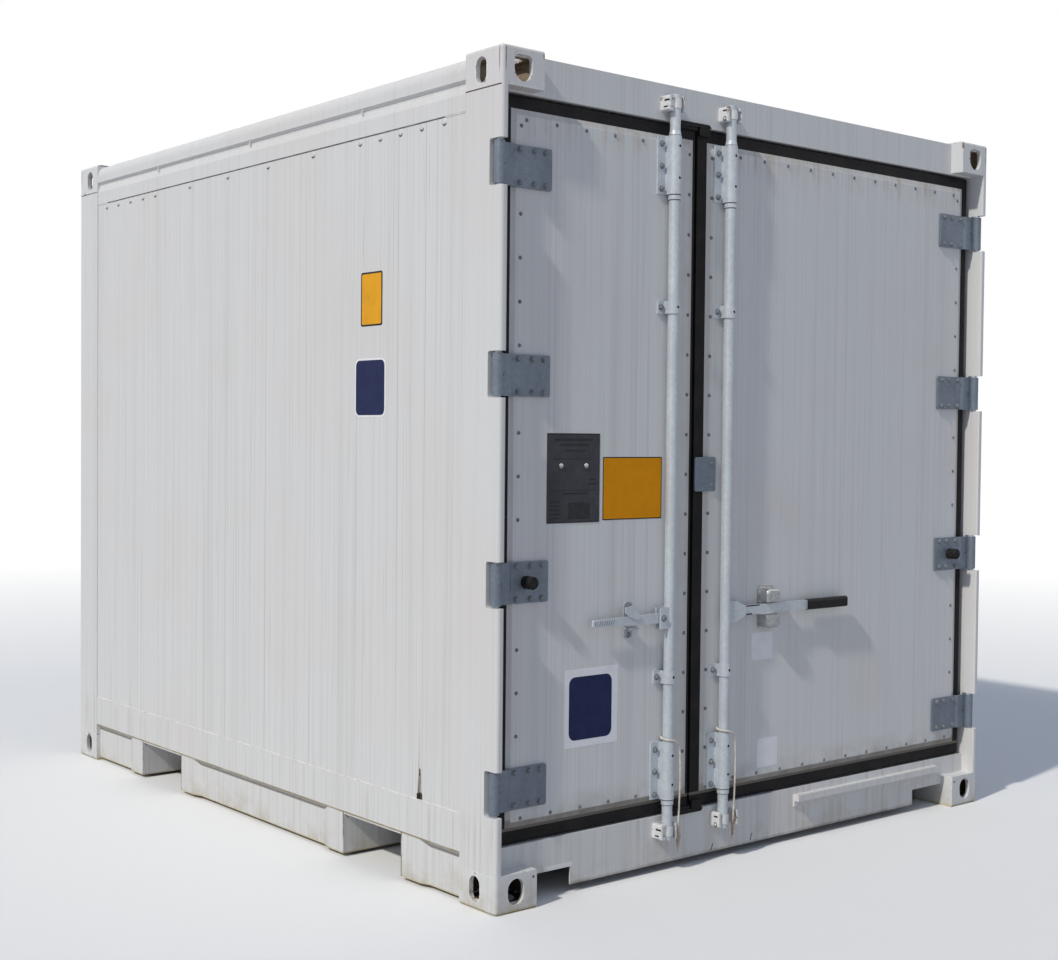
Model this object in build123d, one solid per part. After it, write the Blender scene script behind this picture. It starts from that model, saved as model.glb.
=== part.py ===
from build123d import *
import math
import os

os.makedirs("parts", exist_ok=True)

# Outside of the box
length = 2991.0
width = 2438.0
height = 2591.0

# Corner castings and their holes
casting_length = 178.0
casting_width = 162.0
casting_height = 118.0
casting_plate = 28.0
casting_wall = 16.0
casting_inner_wall = 13.0
casting_round = 12.0
casting_edge_round = 11.0
twist_hole_long = 124.5
twist_hole_wide = 63.5
twist_from_end = 102.0
twist_from_side = 89.5
hand_hole_tall = 79.5
end_hole_wide = 63.5
side_hole_wide = 51.0
top_end_hole_wide = 70.0
hand_hole_lift = 4.0

# Steel skin and insulated walls
steel = 6.0
wall_thick = 75.0
panel_recess = 5.0
band_recess = 2.0
base_clear = 12.5
roof_drop = 6.0

# Door posts
post_face = 26.0
post_round = 12.0
jamb_depth = 105.0
jamb_reach = 75.0
solid_depth = 66.0
notch_depth = 58.0
notch_height = 139.0
notch_round = 8.0

# Cross pieces of the door end
frame_recess = 54.0
header_depth = 123.0
sill_top = 186.0
sill_bottom = 26.0
sill_notch_wide = 182.0
sill_notch_top = 84.0
rear_notch_more = 110.0
bar_end_inset = 51.0
bar_long = 825.0
bar_bottom = 120.0
bar_under = 141.0
bar_top = 164.0
bar_reach = 26.0

# Side rails and bands
rail_bottom = 155.0
band_top = 276.0
lap_drop = 172.0
groove_drop = 90.0
groove_wide = 8.0
groove_deep = 11.0
cove_drop = 26.0
top_round = 46.0
drain_from_casting = 218.0
drain_wide = 30.0
drain_slit = 7.0
drain_tall = 102.0
drain_deep = 12.0

# Lower rails, fork pockets and cross members
lower_recess = 18.0
lower_lip = 22.0
cheek_recess = 4.0
cheek_long = 96.0
cheek_slope = 42.0
fork_front_inset = 318.0
fork_rear_inset = 448.0
fork_wide = 340.0
cross_tall = 100.0
cross_flange = 45.0
cross_count = 4

# Floor
floor_top = 212.0
t_bar_height = 40.0
t_bar_wide = 34.0
t_bar_gap = 30.0
t_bar_plate = 5.0

# Door leaves and gaskets
leaf_recess = 54.0
leaf_thick = 80.0
leaf_rise = 55.0
leaf_drop = 47.0
leaf_inset = 82.0
leaf_round = 6.0
rim_wide = 20.0
rim_drop = 6.0
door_split = 330.0
left_edge_gap = 33.0
right_edge_gap = 34.0
left_gasket_gap = 23.0
right_gasket_reach = 11.0
gasket_depth = 40.0
gasket_clear = 5.0
gasket_bulb = 12.0
gasket_bevel_wide = 21.0
gasket_bevel_deep = 14.0
flap_over = 10.0
flap_root = 30.0
flap_thick = 5.0
flap_clear = 1.0
flap_long = 130.0

# Hinges
hinge_low = 362.0
hinge_drop = 343.0
hinge_count = 4
hinge_tall = 127.0
hinge_inset_side = 18.0
hinge_inset_front = 32.0
knuckle_radius = 16.5
pin_radius = 10.0
pin_clear = 0.6
blade_thick = 8.0
blade_long = 152.0
blade_step = 5.5
blade_round = 6.0
buffer_hinge = 1
buffer_from_pin = 127.0
buffer_radius = 20.0
buffer_long = 40.0
buffer_round = 5.0

# Lock rods and their bearings
left_rod_inset = 115.0
right_rod_inset = 83.0
rod_radius = 17.5
rod_stand = 27.0
rod_bottom = 112.0
rod_drop = 42.0
bearing_inset = 5.0
bearing_tall = 190.0
bearing_wall = 3.8
bearing_clear = 0.7
flange_wide = 34.0
flange_thick = 6.0
clamp_low_rise = 409.0
clamp_high_drop = 561.0
clamp_tall = 42.0
clamp_flange = 26.0
collar_radius = 20.5
collar_tall = 14.0
collar_gap = 3.0

# Cams and keepers
cam_low = 141.0
cam_drop = 72.0
cam_tall = 30.0
cam_hub_radius = 20.0
cam_reach = 27.0
cam_nose_deep = 20.0
cam_nose_tall = 22.0
keeper_tall = 50.0
keeper_plate = 3.0
keeper_clear = 5.0
keeper_rope_clear = 29.0
keeper_lug_wide = 10.0
keeper_lug_deep = 43.0
keeper_far = 25.5
keeper_round = 7.0
lip_clear = 4.0

# Handles and catches
handle_height = 846.0
bar_thick = 10.0
bar_tall = 33.0
bar_tip_tall = 23.0
hub_tall = 70.0
hub_plate = 5.0
hub_clear = 2.5
hub_reach = 52.0
pivot_at = 37.0
pivot_radius = 6.0
pivot_clear = 0.6
left_bar_reach = 337.0
left_bar_round = 5.0
right_bar_reach = 420.0
grip_reach = 632.0
grip_tall = 38.0
grip_thick = 26.0
grip_round = 9.0
wedge_reach = 92.0
wedge_tall = 72.0
wedge_thick = 22.0
left_catch_from_rod = 165.0
left_catch_wide = 36.0
left_catch_tall = 117.0
left_catch_thick = 6.0
shelf_thick = 7.0
shelf_reach = 38.0
catch_clear = 5.5
hasp_wide = 64.0
hasp_tall = 50.0
hasp_thick = 4.0
hasp_left = 38.0
hasp_shares = ((0.0, 0.9), (0.5, 1.0), (1.0, 0.26), (0.9, 0.0), (0.2, 0.3), (0.0, 0.52))
right_catch_from_rod = 230.0
right_catch_wide = 70.0
right_catch_tall = 138.0
right_catch_back = 12.0
right_catch_deep = 44.0
right_catch_round = 18.0
catch_flange = 7.0
catch_flange_thick = 4.0

# Plate over the middle gasket
overlap_past = 15.0
overlap_on = 84.0
overlap_middle = 1313.5
overlap_tall = 115.0
overlap_thick = 6.0
overlap_round = 8.0

# Tie-back ropes, as points from the rod's axis and the top of the low bearing
rope_radius = 3.75
rope_seat = 0.15
rope_run_share = 0.45
rope_route = ((-9.4, 22.6, 10.0), (-22.6, 9.4, 9.0), (-22.6, -9.4, 7.0), (-9.4, -22.6, 4.0),
              (9.4, -22.6, 0.8), (28.0, -17.0, -9.0), (39.5, -8.5, -32.0), (45.5, -2.0, -75.0),
              (47.5, 0.0, -135.0), (45.5, 0.5, -200.0), (44.5, 0.0, -267.0), (41.2, -1.0, -332.0))

# Planes and places that the rest hangs on
front = -length / 2
back = length / 2
side = -width / 2
bay_front = front + casting_length
bay_back = back - casting_length
inner_side = side + wall_thick
beam_end = -side - casting_width
lip_end = -side - post_face
seat_end = -side - jamb_reach
casting_under = height - casting_height
header_bottom = height - header_depth
roof_top = height - roof_drop
lap_line = height - lap_drop
groove_line = height - groove_drop
fork_front = bay_front + fork_front_inset + fork_wide / 2
fork_rear = bay_back - fork_rear_inset - fork_wide / 2
leaf_face = front + leaf_recess
gasket_face = leaf_face + rim_drop
leaf_bottom = sill_top + leaf_rise
leaf_top = header_bottom - leaf_drop
leaf_edge = side + leaf_inset
left_free_edge = door_split + left_edge_gap
right_free_edge = door_split - right_edge_gap
left_gasket_end = door_split + left_gasket_gap
right_gasket_end = door_split + right_gasket_reach
hinge_x = side + hinge_inset_side
hinge_y = front + hinge_inset_front
hinge_step = (height - hinge_drop - hinge_low) / (hinge_count - 1)
hinge_heights = [hinge_low + step * hinge_step for step in range(hinge_count)]
left_rod_at = left_free_edge + left_rod_inset
right_rod_at = right_free_edge - right_rod_inset
rod_y = leaf_face - rod_stand
rod_top = height - rod_drop
cam_high = height - cam_drop
low_bearing_bottom = leaf_bottom + bearing_inset
low_bearing_top = low_bearing_bottom + bearing_tall
high_bearing_top = leaf_top - bearing_inset
high_bearing_bottom = high_bearing_top - bearing_tall
clamp_middles = (leaf_bottom + clamp_low_rise, leaf_top - clamp_high_drop)


def block(x0, x1, y0, y1, z0, z1):
    middle = Pos((x0 + x1) / 2, (y0 + y1) / 2, (z0 + z1) / 2)
    return middle * Box(x1 - x0, y1 - y0, z1 - z0)


def along_x(points, x0, x1):
    face = make_face(Polyline(*[(x0, y, z) for y, z in points], close=True))
    return extrude(face, amount=x1 - x0, dir=(1, 0, 0))


def along_y(points, y0, y1):
    face = make_face(Polyline(*[(x, y0, z) for x, z in points], close=True))
    return extrude(face, amount=y1 - y0, dir=(0, 1, 0))


def along_z(points, z0, z1):
    face = make_face(Polyline(*[(x, y, z0) for x, y in points], close=True))
    return extrude(face, amount=z1 - z0, dir=(0, 0, 1))


def round_bar(x, y, radius, z0, z1):
    return Pos(x, y, (z0 + z1) / 2) * Cylinder(radius, z1 - z0)


def cross_bar(x, z, radius, y0, y1):
    return Pos(x, (y0 + y1) / 2, z) * Rot(90, 0, 0) * Cylinder(radius, y1 - y0)


def flipped(part):
    return mirror(part, about=Plane.YZ)


def turned(part):
    return mirror(part, about=Plane.XZ)


def near(part, axis, place):
    return part.edges().filter_by(axis).sort_by_distance(place)


def save(name, *solids):
    shape = solids[0] if len(solids) == 1 else Compound(children=list(solids))
    shape.label = name
    export_step(shape, os.path.join("parts", name + ".step"))


# Corner castings
def stadium(wide, tall):
    return SlotOverall(tall, wide, rotation=90) if tall > wide else SlotOverall(wide, tall)


def shield(wide, tall):
    top = tall / 2
    outline = [(-wide / 2, 0), (-wide / 2, top), (wide / 2, top), (wide / 2, 0)]
    upper = make_face(Polyline(*outline, close=True))
    return fillet(upper.vertices().group_by(Axis.Y)[-1], wide / 4) + Ellipse(wide / 2, top)


def casting_body():
    x1 = side + casting_width
    y1 = front + casting_length
    body = block(side, x1, front, y1, 0, casting_height)
    body = fillet(near(body, Axis.Z, (side, front, 0))[0], casting_round)
    low = body.edges().group_by(Axis.Z)[0]
    outer = [edge for edge in low if edge.center().X < x1 and edge.center().Y < y1]
    return fillet(outer, casting_edge_round)


def casting(top):
    x = side + casting_width / 2
    y = front + twist_from_end
    z = casting_height / 2 + hand_hole_lift
    x1 = side + casting_width - casting_inner_wall
    y1 = front + casting_length - casting_inner_wall
    under = casting_height - casting_wall
    room = block(side + casting_wall, x1, front + casting_wall, y1, casting_plate, under)
    twist_shape = stadium(twist_hole_wide, twist_hole_long)
    twist = extrude(Pos(side + twist_from_side, y, 0) * twist_shape, amount=casting_plate)
    end_shape = stadium(end_hole_wide, hand_hole_tall)
    if top:
        end_shape = Rot(0, 0, 180) * shield(top_end_hole_wide, hand_hole_tall)
    end_plane = Plane(origin=(x, front, z), x_dir=(1, 0, 0), z_dir=(0, -1, 0))
    end_hole = extrude(end_plane * end_shape, amount=-casting_wall)
    side_plane = Plane(origin=(side, y, z), x_dir=(0, -1, 0), z_dir=(-1, 0, 0))
    side_hole = extrude(side_plane * stadium(side_hole_wide, hand_hole_tall), amount=-casting_wall)
    return casting_body() - room - twist - end_hole - side_hole


def four_castings(top):
    one = casting(top)
    if top:
        one = Pos(0, 0, height) * mirror(one, about=Plane.XY)
    pair = [one, flipped(one)]
    return pair + [turned(each) for each in pair]


# Door posts with a notch at every hinge
def post_notch(middle):
    z0 = middle - notch_height / 2
    z1 = middle + notch_height / 2
    reach = post_face + post_round
    cut = block(side - reach, side + reach, front - notch_round, front + notch_depth, z0, z1)
    inner = cut.edges().filter_by(Axis.X).group_by(Axis.Y)[-1]
    return fillet(inner, notch_round)


def door_post():
    z0 = casting_height
    face = side + post_face
    jamb = front + jamb_depth
    deep = side + jamb_reach
    outline = [(side, front), (face, front), (face, jamb), (deep, jamb), (deep, bay_front), (side, bay_front)]
    body = along_z(outline, z0, casting_under)
    body = fillet(near(body, Axis.Z, (side, front, z0))[0], post_round)
    body = fillet(near(body, Axis.Z, (face, front, z0))[0], post_round / 2)
    hollow = [(side + steel, front + solid_depth), (face - steel, front + solid_depth),
              (face - steel, jamb + steel), (deep - steel, jamb + steel),
              (deep - steel, bay_front - steel), (side + steel, bay_front - steel)]
    body = body - along_z(hollow, z0, casting_under)
    for middle in hinge_heights:
        body = body - post_notch(middle)
    return body


def end_post():
    z0 = casting_height
    body = block(side, inner_side, bay_back, back, z0, casting_under)
    body = fillet(near(body, Axis.Z, (side, back, z0))[0], post_round)
    hollow = block(side + steel, inner_side - steel, bay_back + steel, back - steel, z0, casting_under)
    return body - hollow


def hinge_pin(middle):
    half = notch_height / 2
    return round_bar(hinge_x, hinge_y, pin_radius, middle - half, middle + half)


# Cross pieces of the two ends
def door_header():
    y0 = front + frame_recess
    outline = [(y0, casting_under), (bay_front, casting_under), (bay_front, roof_top), (y0, roof_top)]
    beam = along_x(outline, -beam_end, beam_end)
    room = [(y0 + steel, casting_under), (bay_front - steel, casting_under),
            (bay_front - steel, roof_top - steel), (y0 + steel, roof_top - steel)]
    beam = beam - along_x(room, -beam_end, beam_end)
    jamb = front + jamb_depth
    lip = block(-lip_end, lip_end, y0, jamb, header_bottom, casting_under)
    seat = block(-seat_end, seat_end, jamb, bay_front, header_bottom, casting_under)
    return beam + lip + seat


def sill_plate(y0, y1):
    notch_end = beam_end - sill_notch_wide
    outline = [(0, sill_bottom), (notch_end, sill_bottom), (notch_end, sill_notch_top),
               (beam_end, sill_notch_top), (beam_end, casting_height), (lip_end, casting_height),
               (lip_end, sill_top), (0, sill_top)]
    half = along_y(outline, y0, y1)
    return half + flipped(half)


def door_sill():
    y0 = front + frame_recess
    y1 = y0 + steel
    jamb = front + jamb_depth
    under = sill_top - steel
    top = block(-lip_end, lip_end, y1, jamb, under, sill_top)
    top = top + block(-seat_end, seat_end, jamb, bay_front, under, sill_top)
    notch_end = beam_end - sill_notch_wide - rear_notch_more
    rear = block(-beam_end, beam_end, bay_front - steel, bay_front, sill_notch_top, sill_top)
    rear = rear + block(-notch_end, notch_end, bay_front - steel, bay_front, sill_bottom, sill_notch_top)
    return sill_plate(y0, y1) + top + rear


def sill_bar():
    y1 = front + frame_recess
    y0 = y1 - bar_reach
    x1 = beam_end - bar_end_inset
    x0 = x1 - bar_long
    outline = [(y1, bar_bottom), (y1, bar_top), (y0, bar_top), (y0, bar_under), (y1 - steel, bar_under),
               (y1 - steel, bar_bottom)]
    return along_x(outline, x0, x1)


def end_header():
    y1 = back - frame_recess
    body = block(-beam_end, beam_end, bay_back, y1, casting_under, roof_top)
    room = block(-beam_end, beam_end, bay_back + steel, y1 - steel, casting_under + steel, roof_top - steel)
    return body - room


def end_sill():
    y1 = back - frame_recess
    body = block(-beam_end, beam_end, bay_back, y1, sill_bottom, casting_height)
    body = body + block(inner_side, -inner_side, bay_back, y1, casting_height, sill_top)
    room = block(-beam_end, beam_end, bay_back + steel, y1 - steel, sill_bottom, sill_top - steel)
    return body - room


# Side rails
def top_rail():
    face = side + band_recess
    low = groove_line - groove_wide / 2
    high = groove_line + groove_wide / 2
    band = face + band_recess
    deep = face + groove_deep
    outline = [(inner_side, lap_line), (band, lap_line), (band, low - cove_drop), (deep, low), (deep, high),
               (face, high + groove_wide), (face, roof_top), (inner_side, roof_top)]
    body = along_y(outline, bay_front, bay_back)
    body = fillet(near(body, Axis.Y, (face, front, roof_top))[0], top_round)
    room_top = roof_top - top_round
    room = block(deep + steel, inner_side - steel, bay_front, bay_back, lap_line + steel, room_top)
    return body - room


def bottom_rail():
    face = side + band_recess
    body = block(face, inner_side, bay_front, bay_back, rail_bottom, band_top)
    room = block(face + steel, inner_side, bay_front, bay_back, rail_bottom + steel, band_top - steel)
    return body - room


# Lower rail run with a flush cheek beside each fork pocket
def lower_run(y0, y1, first_cheek, last_cheek):
    face = side + lower_recess
    flush = side + cheek_recess
    line = [(face, y0)]
    if first_cheek:
        line = [(flush, y0), (flush, y0 + cheek_long), (face, y0 + cheek_long + cheek_slope)]
    if last_cheek:
        line += [(face, y1 - cheek_long - cheek_slope), (flush, y1 - cheek_long), (flush, y1)]
    else:
        line += [(face, y1)]
    inner = [(x + steel, y) for x, y in reversed(line)]
    plate = along_z(line + inner, base_clear, rail_bottom)
    foot = line + [(face + lower_lip, y1), (face + lower_lip, y0)]
    return plate + along_z(foot, base_clear, base_clear + steel)


def lower_rail():
    gap = fork_wide / 2 + steel
    return [lower_run(bay_front, fork_front - gap, False, True),
            lower_run(fork_front + gap, fork_rear - gap, True, True),
            lower_run(fork_rear + gap, bay_back, True, False)]


def fork_pocket(middle):
    y0 = middle - fork_wide / 2
    y1 = middle + fork_wide / 2
    end = -side - cheek_recess
    outline = [(y0 - steel, base_clear), (y0 - steel, rail_bottom), (y1 + steel, rail_bottom),
               (y1 + steel, base_clear), (y1, base_clear), (y1, rail_bottom - steel),
               (y0, rail_bottom - steel), (y0, base_clear)]
    return along_x(outline, -end, end)


def cross_member(y):
    end = -side - lower_recess - steel
    z0 = rail_bottom - cross_tall
    half = cross_flange / 2
    y0 = y - half
    y1 = y + half
    outline = [(y0, z0), (y0, rail_bottom), (y1, rail_bottom), (y1, rail_bottom - steel),
               (y0 + steel, rail_bottom - steel), (y0 + steel, z0 + steel), (y1, z0 + steel), (y1, z0)]
    return along_x(outline, -end, end)


def cross_members():
    first = fork_front + fork_wide / 2
    span = fork_rear - fork_wide / 2 - first
    middles = [first + span * (step + 1) / (cross_count + 1) for step in range(cross_count)]
    middles.append((bay_front + fork_front - fork_wide / 2) / 2)
    middles.append((bay_back + fork_rear + fork_wide / 2) / 2)
    return [cross_member(y) for y in middles]


# Insulated panels
def side_wall():
    x0 = side + panel_recess
    body = block(x0, inner_side, bay_front, bay_back, band_top, lap_line)
    y = bay_front + drain_from_casting
    half = drain_wide / 2
    slit = drain_slit / 2
    top = band_top + drain_tall
    outline = [(y - half, band_top), (y + half, band_top), (y + slit, top), (y - slit, top)]
    return body - along_x(outline, x0, x0 + drain_deep)


def end_wall():
    return block(inner_side, -inner_side, bay_back, bay_back + wall_thick, sill_top, casting_under)


def roof():
    return block(inner_side, -inner_side, bay_front, bay_back, roof_top - wall_thick, roof_top)


def floor_base():
    return block(inner_side, -inner_side, bay_front, bay_back, rail_bottom, floor_top)


def t_bar_floor():
    span = -inner_side
    pitch = t_bar_wide + t_bar_gap
    count = int((2 * span - t_bar_gap) // pitch)
    body = block(-span, span, bay_front, bay_back, floor_top, floor_top + t_bar_plate)
    top = floor_top + t_bar_height
    stem_low = floor_top + t_bar_plate
    stem_high = top - t_bar_plate
    stem = t_bar_plate / 2
    half = t_bar_wide / 2
    bars = []
    for step in range(count):
        x = (step - (count - 1) / 2) * pitch
        outline = [(x - stem, stem_low), (x - stem, stem_high), (x - half, stem_high), (x - half, top),
                   (x + half, top), (x + half, stem_high), (x + stem, stem_high), (x + stem, stem_low)]
        bars.append(along_y(outline, bay_front, bay_back))
    return body.fuse(*bars)


# Doors, drawn as the left one; x grows from the hinge to the free edge
def leaf(free_edge):
    body = block(leaf_edge, free_edge, gasket_face, leaf_face + leaf_thick, leaf_bottom, leaf_top)
    body = fillet(body.edges().filter_by(Axis.Z).group_by(Axis.Y)[-1], leaf_round)
    wide = free_edge - leaf_edge
    tall = leaf_top - leaf_bottom
    middle = ((leaf_edge + free_edge) / 2, (leaf_bottom + leaf_top) / 2)
    sections = []
    for y, inset in ((gasket_face, 0), (leaf_face, rim_wide)):
        plane = Plane(origin=(middle[0], y, middle[1]), x_dir=(1, 0, 0), z_dir=(0, -1, 0))
        sections.append(plane * Rectangle(wide - 2 * inset, tall - 2 * inset))
    return body + loft(sections, ruled=True)


def gasket(free_edge, gasket_end):
    y1 = gasket_face + gasket_depth
    x0 = side + post_face + gasket_clear
    z0 = sill_top + gasket_clear
    z1 = header_bottom - gasket_clear
    outline = [(x0, y1), (x0, gasket_face + gasket_bevel_deep), (x0 + gasket_bevel_wide, gasket_face),
               (gasket_end, gasket_face), (gasket_end, y1)]
    body = along_z(outline, z0, z1)
    body = fillet(body.edges().filter_by(Axis.X).group_by(Axis.Y)[0], gasket_bulb)
    return body - leaf(free_edge)


# Root that carries a flap across the gasket's edge to the face of the frame
def flap_root_block(frame_edge, outward):
    y1 = front + frame_recess - flap_clear
    y0 = y1 - flap_thick
    inner = frame_edge - outward * flap_root
    edge = frame_edge - outward * gasket_clear
    root_back = gasket_face + gasket_depth / 2
    root = block(right_free_edge, right_gasket_end, y0, root_back, min(inner, edge), max(inner, edge))
    neck = block(right_free_edge, right_gasket_end, y0, y1, min(inner, frame_edge), max(inner, frame_edge))
    return root + neck


# Flap that laps the frame between the two rods
def gasket_flap(frame_edge, outward):
    y1 = front + frame_recess - flap_clear
    y0 = y1 - flap_thick
    tip = frame_edge + outward * flap_over
    x0 = right_free_edge - flap_over
    x1 = right_free_edge + flap_long
    return along_y([(x0, frame_edge), (right_free_edge, tip), (x1, tip), (x1, frame_edge)], y0, y1)


def right_gasket():
    body = gasket(right_free_edge, right_gasket_end)
    roots = flap_root_block(header_bottom, 1) + flap_root_block(sill_top, -1)
    return body + roots - leaf(right_free_edge)


def hinge(middle):
    z0 = middle - hinge_tall / 2
    z1 = middle + hinge_tall / 2
    eye_back = hinge_y + knuckle_radius
    eye_front = eye_back - blade_thick
    blade_end = leaf_edge + blade_long
    blade_front = leaf_face - blade_thick
    outline = [(hinge_x, eye_back), (leaf_edge - blade_step, eye_back), (leaf_edge + blade_step, leaf_face),
               (blade_end, leaf_face), (blade_end, blade_front), (leaf_edge + blade_step, blade_front),
               (leaf_edge - blade_step, eye_front), (hinge_x, eye_front)]
    blade = along_z(outline, z0, z1)
    blade = fillet(near(blade, Axis.Y, (blade_end, leaf_face, z0))[0], blade_round)
    blade = fillet(near(blade, Axis.Y, (blade_end, leaf_face, z1))[0], blade_round)
    eye = round_bar(hinge_x, hinge_y, knuckle_radius, z0, z1)
    bore = round_bar(hinge_x, hinge_y, pin_radius + pin_clear, z0, z1)
    return blade + eye - bore


def buffer():
    face = leaf_face - blade_thick
    x = hinge_x + buffer_from_pin
    body = cross_bar(x, hinge_heights[buffer_hinge], buffer_radius, face - buffer_long, face)
    return fillet(body.edges().group_by(Axis.Y)[0], buffer_round)


def bearing(rod_x, z0, z1, flange, flange_sign):
    inner = rod_radius + bearing_clear
    outer = inner + bearing_wall
    shell = round_bar(rod_x, rod_y, outer, z0, z1)
    shell = shell + block(rod_x - outer, rod_x + outer, rod_y, leaf_face, z0, z1)
    shell = shell - round_bar(rod_x, rod_y, inner, z0, z1)
    shell = shell - block(rod_x - inner, rod_x + inner, rod_y, leaf_face, z0, z1)
    start = rod_x + flange_sign * inner
    end = rod_x + flange_sign * (outer + flange)
    foot = block(min(start, end), max(start, end), leaf_face - flange_thick, leaf_face, z0, z1)
    return shell + foot


def bearings(rod_x, flange_sign):
    long_ones = ((low_bearing_bottom, low_bearing_top), (high_bearing_bottom, high_bearing_top))
    solids = [bearing(rod_x, z0, z1, flange_wide, flange_sign) for z0, z1 in long_ones]
    half = clamp_tall / 2
    for middle in clamp_middles:
        solids.append(bearing(rod_x, middle - half, middle + half, clamp_flange, flange_sign))
    return solids


# Lock rods with their cams
def cam(rod_x, middle):
    hub = round_bar(rod_x, rod_y, cam_hub_radius, middle - cam_tall / 2, middle + cam_tall / 2)
    z0 = middle - cam_nose_tall / 2
    z1 = middle + cam_nose_tall / 2
    half = cam_nose_deep / 2
    tip_x = rod_x - cam_reach + half
    nose = block(tip_x, rod_x, rod_y - half, rod_y + half, z0, z1)
    return hub + nose + round_bar(tip_x, rod_y, half, z0, z1)


def lock_rod(rod_x):
    body = round_bar(rod_x, rod_y, rod_radius, rod_bottom, rod_top)
    body = body + cam(rod_x, cam_low) + cam(rod_x, cam_high)
    for low in (low_bearing_bottom, high_bearing_bottom):
        top = low - collar_gap
        body = body + round_bar(rod_x, rod_y, collar_radius, top - collar_tall, top)
    flare_low = high_bearing_top + collar_gap
    flare = Pos(rod_x, rod_y, flare_low + collar_tall / 2) * Cone(collar_radius, rod_radius, collar_tall)
    return body + flare


# Keeper: a plate on the frame with a lug each side of the cam, each lug with a lip above and below the nose
def keeper_lug(start, end, lip_end_x, z0, z1, middle):
    wall = front + frame_recess
    lug_front = wall - keeper_lug_deep
    lug = block(min(start, end), max(start, end), lug_front, wall, z0, z1)
    outer = lug.faces().sort_by_distance((end, (lug_front + wall) / 2, middle))[0]
    lug = fillet([edge for edge in outer.edges() if edge.center().Y < wall - keeper_plate], keeper_round)
    slot = cam_nose_tall / 2 + lip_clear
    for low, high in ((z0, middle - slot), (middle + slot, z1)):
        lug = lug + block(min(start, lip_end_x), max(start, lip_end_x), lug_front, wall, low, high)
    return lug


def keeper(rod_x, middle, clear):
    z0 = middle - keeper_tall / 2
    z1 = middle + keeper_tall / 2
    wall = front + frame_recess
    nose_end = rod_x - cam_reach - clear
    rest = rod_x + keeper_far
    lip_reach = rod_radius + lip_clear
    lip_from = rod_x - lip_reach if clear == keeper_clear else nose_end + lip_clear
    first = keeper_lug(nose_end, nose_end - keeper_lug_wide, lip_from, z0, z1, middle)
    last = keeper_lug(rest, rest + keeper_lug_wide, rod_x + lip_reach, z0, z1, middle)
    plate = block(nose_end, rest, wall - keeper_plate, wall, z0, z1)
    return first + last + plate


# Handles and catches
def left_hub(rod_x):
    z0 = handle_height - hub_tall / 2
    z1 = handle_height + hub_tall / 2
    inside = bar_thick / 2 + hub_clear
    outside = inside + hub_plate
    x0 = rod_x - hub_reach
    body = block(x0, rod_x, rod_y - outside, rod_y + outside, z0, z1)
    body = body - block(x0, rod_x - rod_radius, rod_y - inside, rod_y + inside, z0, z1)
    return body + cross_bar(rod_x - pivot_at, handle_height, pivot_radius, rod_y - outside, rod_y + outside)


def left_handle(rod_x):
    pivot = rod_x - pivot_at
    tip = rod_x - left_bar_reach
    y0 = rod_y - bar_thick / 2
    y1 = rod_y + bar_thick / 2
    root = bar_tall / 2
    end = bar_tip_tall / 2
    outline = [(pivot, handle_height - root), (pivot, handle_height + root), (tip, handle_height + end),
               (tip, handle_height - end)]
    body = along_y(outline, y0, y1)
    body = fillet(body.edges().filter_by(Axis.Y).group_by(Axis.X)[0], left_bar_round)
    body = body + cross_bar(pivot, handle_height, root, y0, y1)
    body = body - cross_bar(pivot, handle_height, pivot_radius + pivot_clear, y0, y1)
    hasp_from = rod_x - left_catch_from_rod - hasp_left
    hasp = [(hasp_from + across * hasp_wide, handle_height + up * hasp_tall) for across, up in hasp_shares]
    return body + along_y(hasp, y0 - hasp_thick, y0)


def left_catch(rod_x):
    half = left_catch_tall / 2
    middle = rod_x - left_catch_from_rod
    x0 = middle - left_catch_wide / 2
    x1 = middle + left_catch_wide / 2
    plate = block(x0, x1, leaf_face - left_catch_thick, leaf_face, handle_height - half, handle_height + half)
    plate = fillet(plate.edges().filter_by(Axis.Y), left_catch_wide / 3)
    shelf_top = handle_height - bar_tall / 2 - catch_clear
    return plate + block(x0, x1, leaf_face - shelf_reach, leaf_face, shelf_top - shelf_thick, shelf_top)


def right_hub(rod_x):
    half = wedge_thick / 2
    tall = wedge_tall / 2
    bar = bar_tall / 2
    middle = rod_x - wedge_reach / 2
    end = rod_x - wedge_reach
    outline = [(rod_x, handle_height - tall), (middle, handle_height - tall), (end, handle_height - bar),
               (end, handle_height + bar), (middle, handle_height + tall), (rod_x, handle_height + tall)]
    return along_y(outline, rod_y - half, rod_y + half)


def right_handle(rod_x):
    half = bar_tall / 2
    thick = bar_thick / 2
    return block(rod_x - right_bar_reach, rod_x - wedge_reach, rod_y - thick, rod_y + thick,
                 handle_height - half, handle_height + half)


def right_grip(rod_x):
    body = block(rod_x - grip_reach, rod_x - right_bar_reach, rod_y - grip_thick / 2, rod_y + grip_thick / 2,
                 handle_height - grip_tall / 2, handle_height + grip_tall / 2)
    return fillet(body.edges().filter_by(Axis.X), grip_round)


# Half of the right catch: a rounded block above or below the bar
def catch_half(middle, way):
    half = right_catch_wide / 2
    inner = handle_height + way * (bar_tall / 2 + catch_clear)
    outer = handle_height + way * right_catch_tall / 2
    face = leaf_face - right_catch_deep
    body = block(middle - half, middle + half, face, leaf_face, min(inner, outer), max(inner, outer))
    corners = [edge for edge in body.edges().filter_by(Axis.Y) if abs(edge.center().Z - outer) < catch_clear]
    body = fillet(corners, right_catch_round)
    rim = [edge for edge in body.edges().group_by(Axis.Y)[0] if abs(edge.center().Z - inner) > catch_clear]
    return fillet(rim, right_catch_round / 2)


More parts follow.
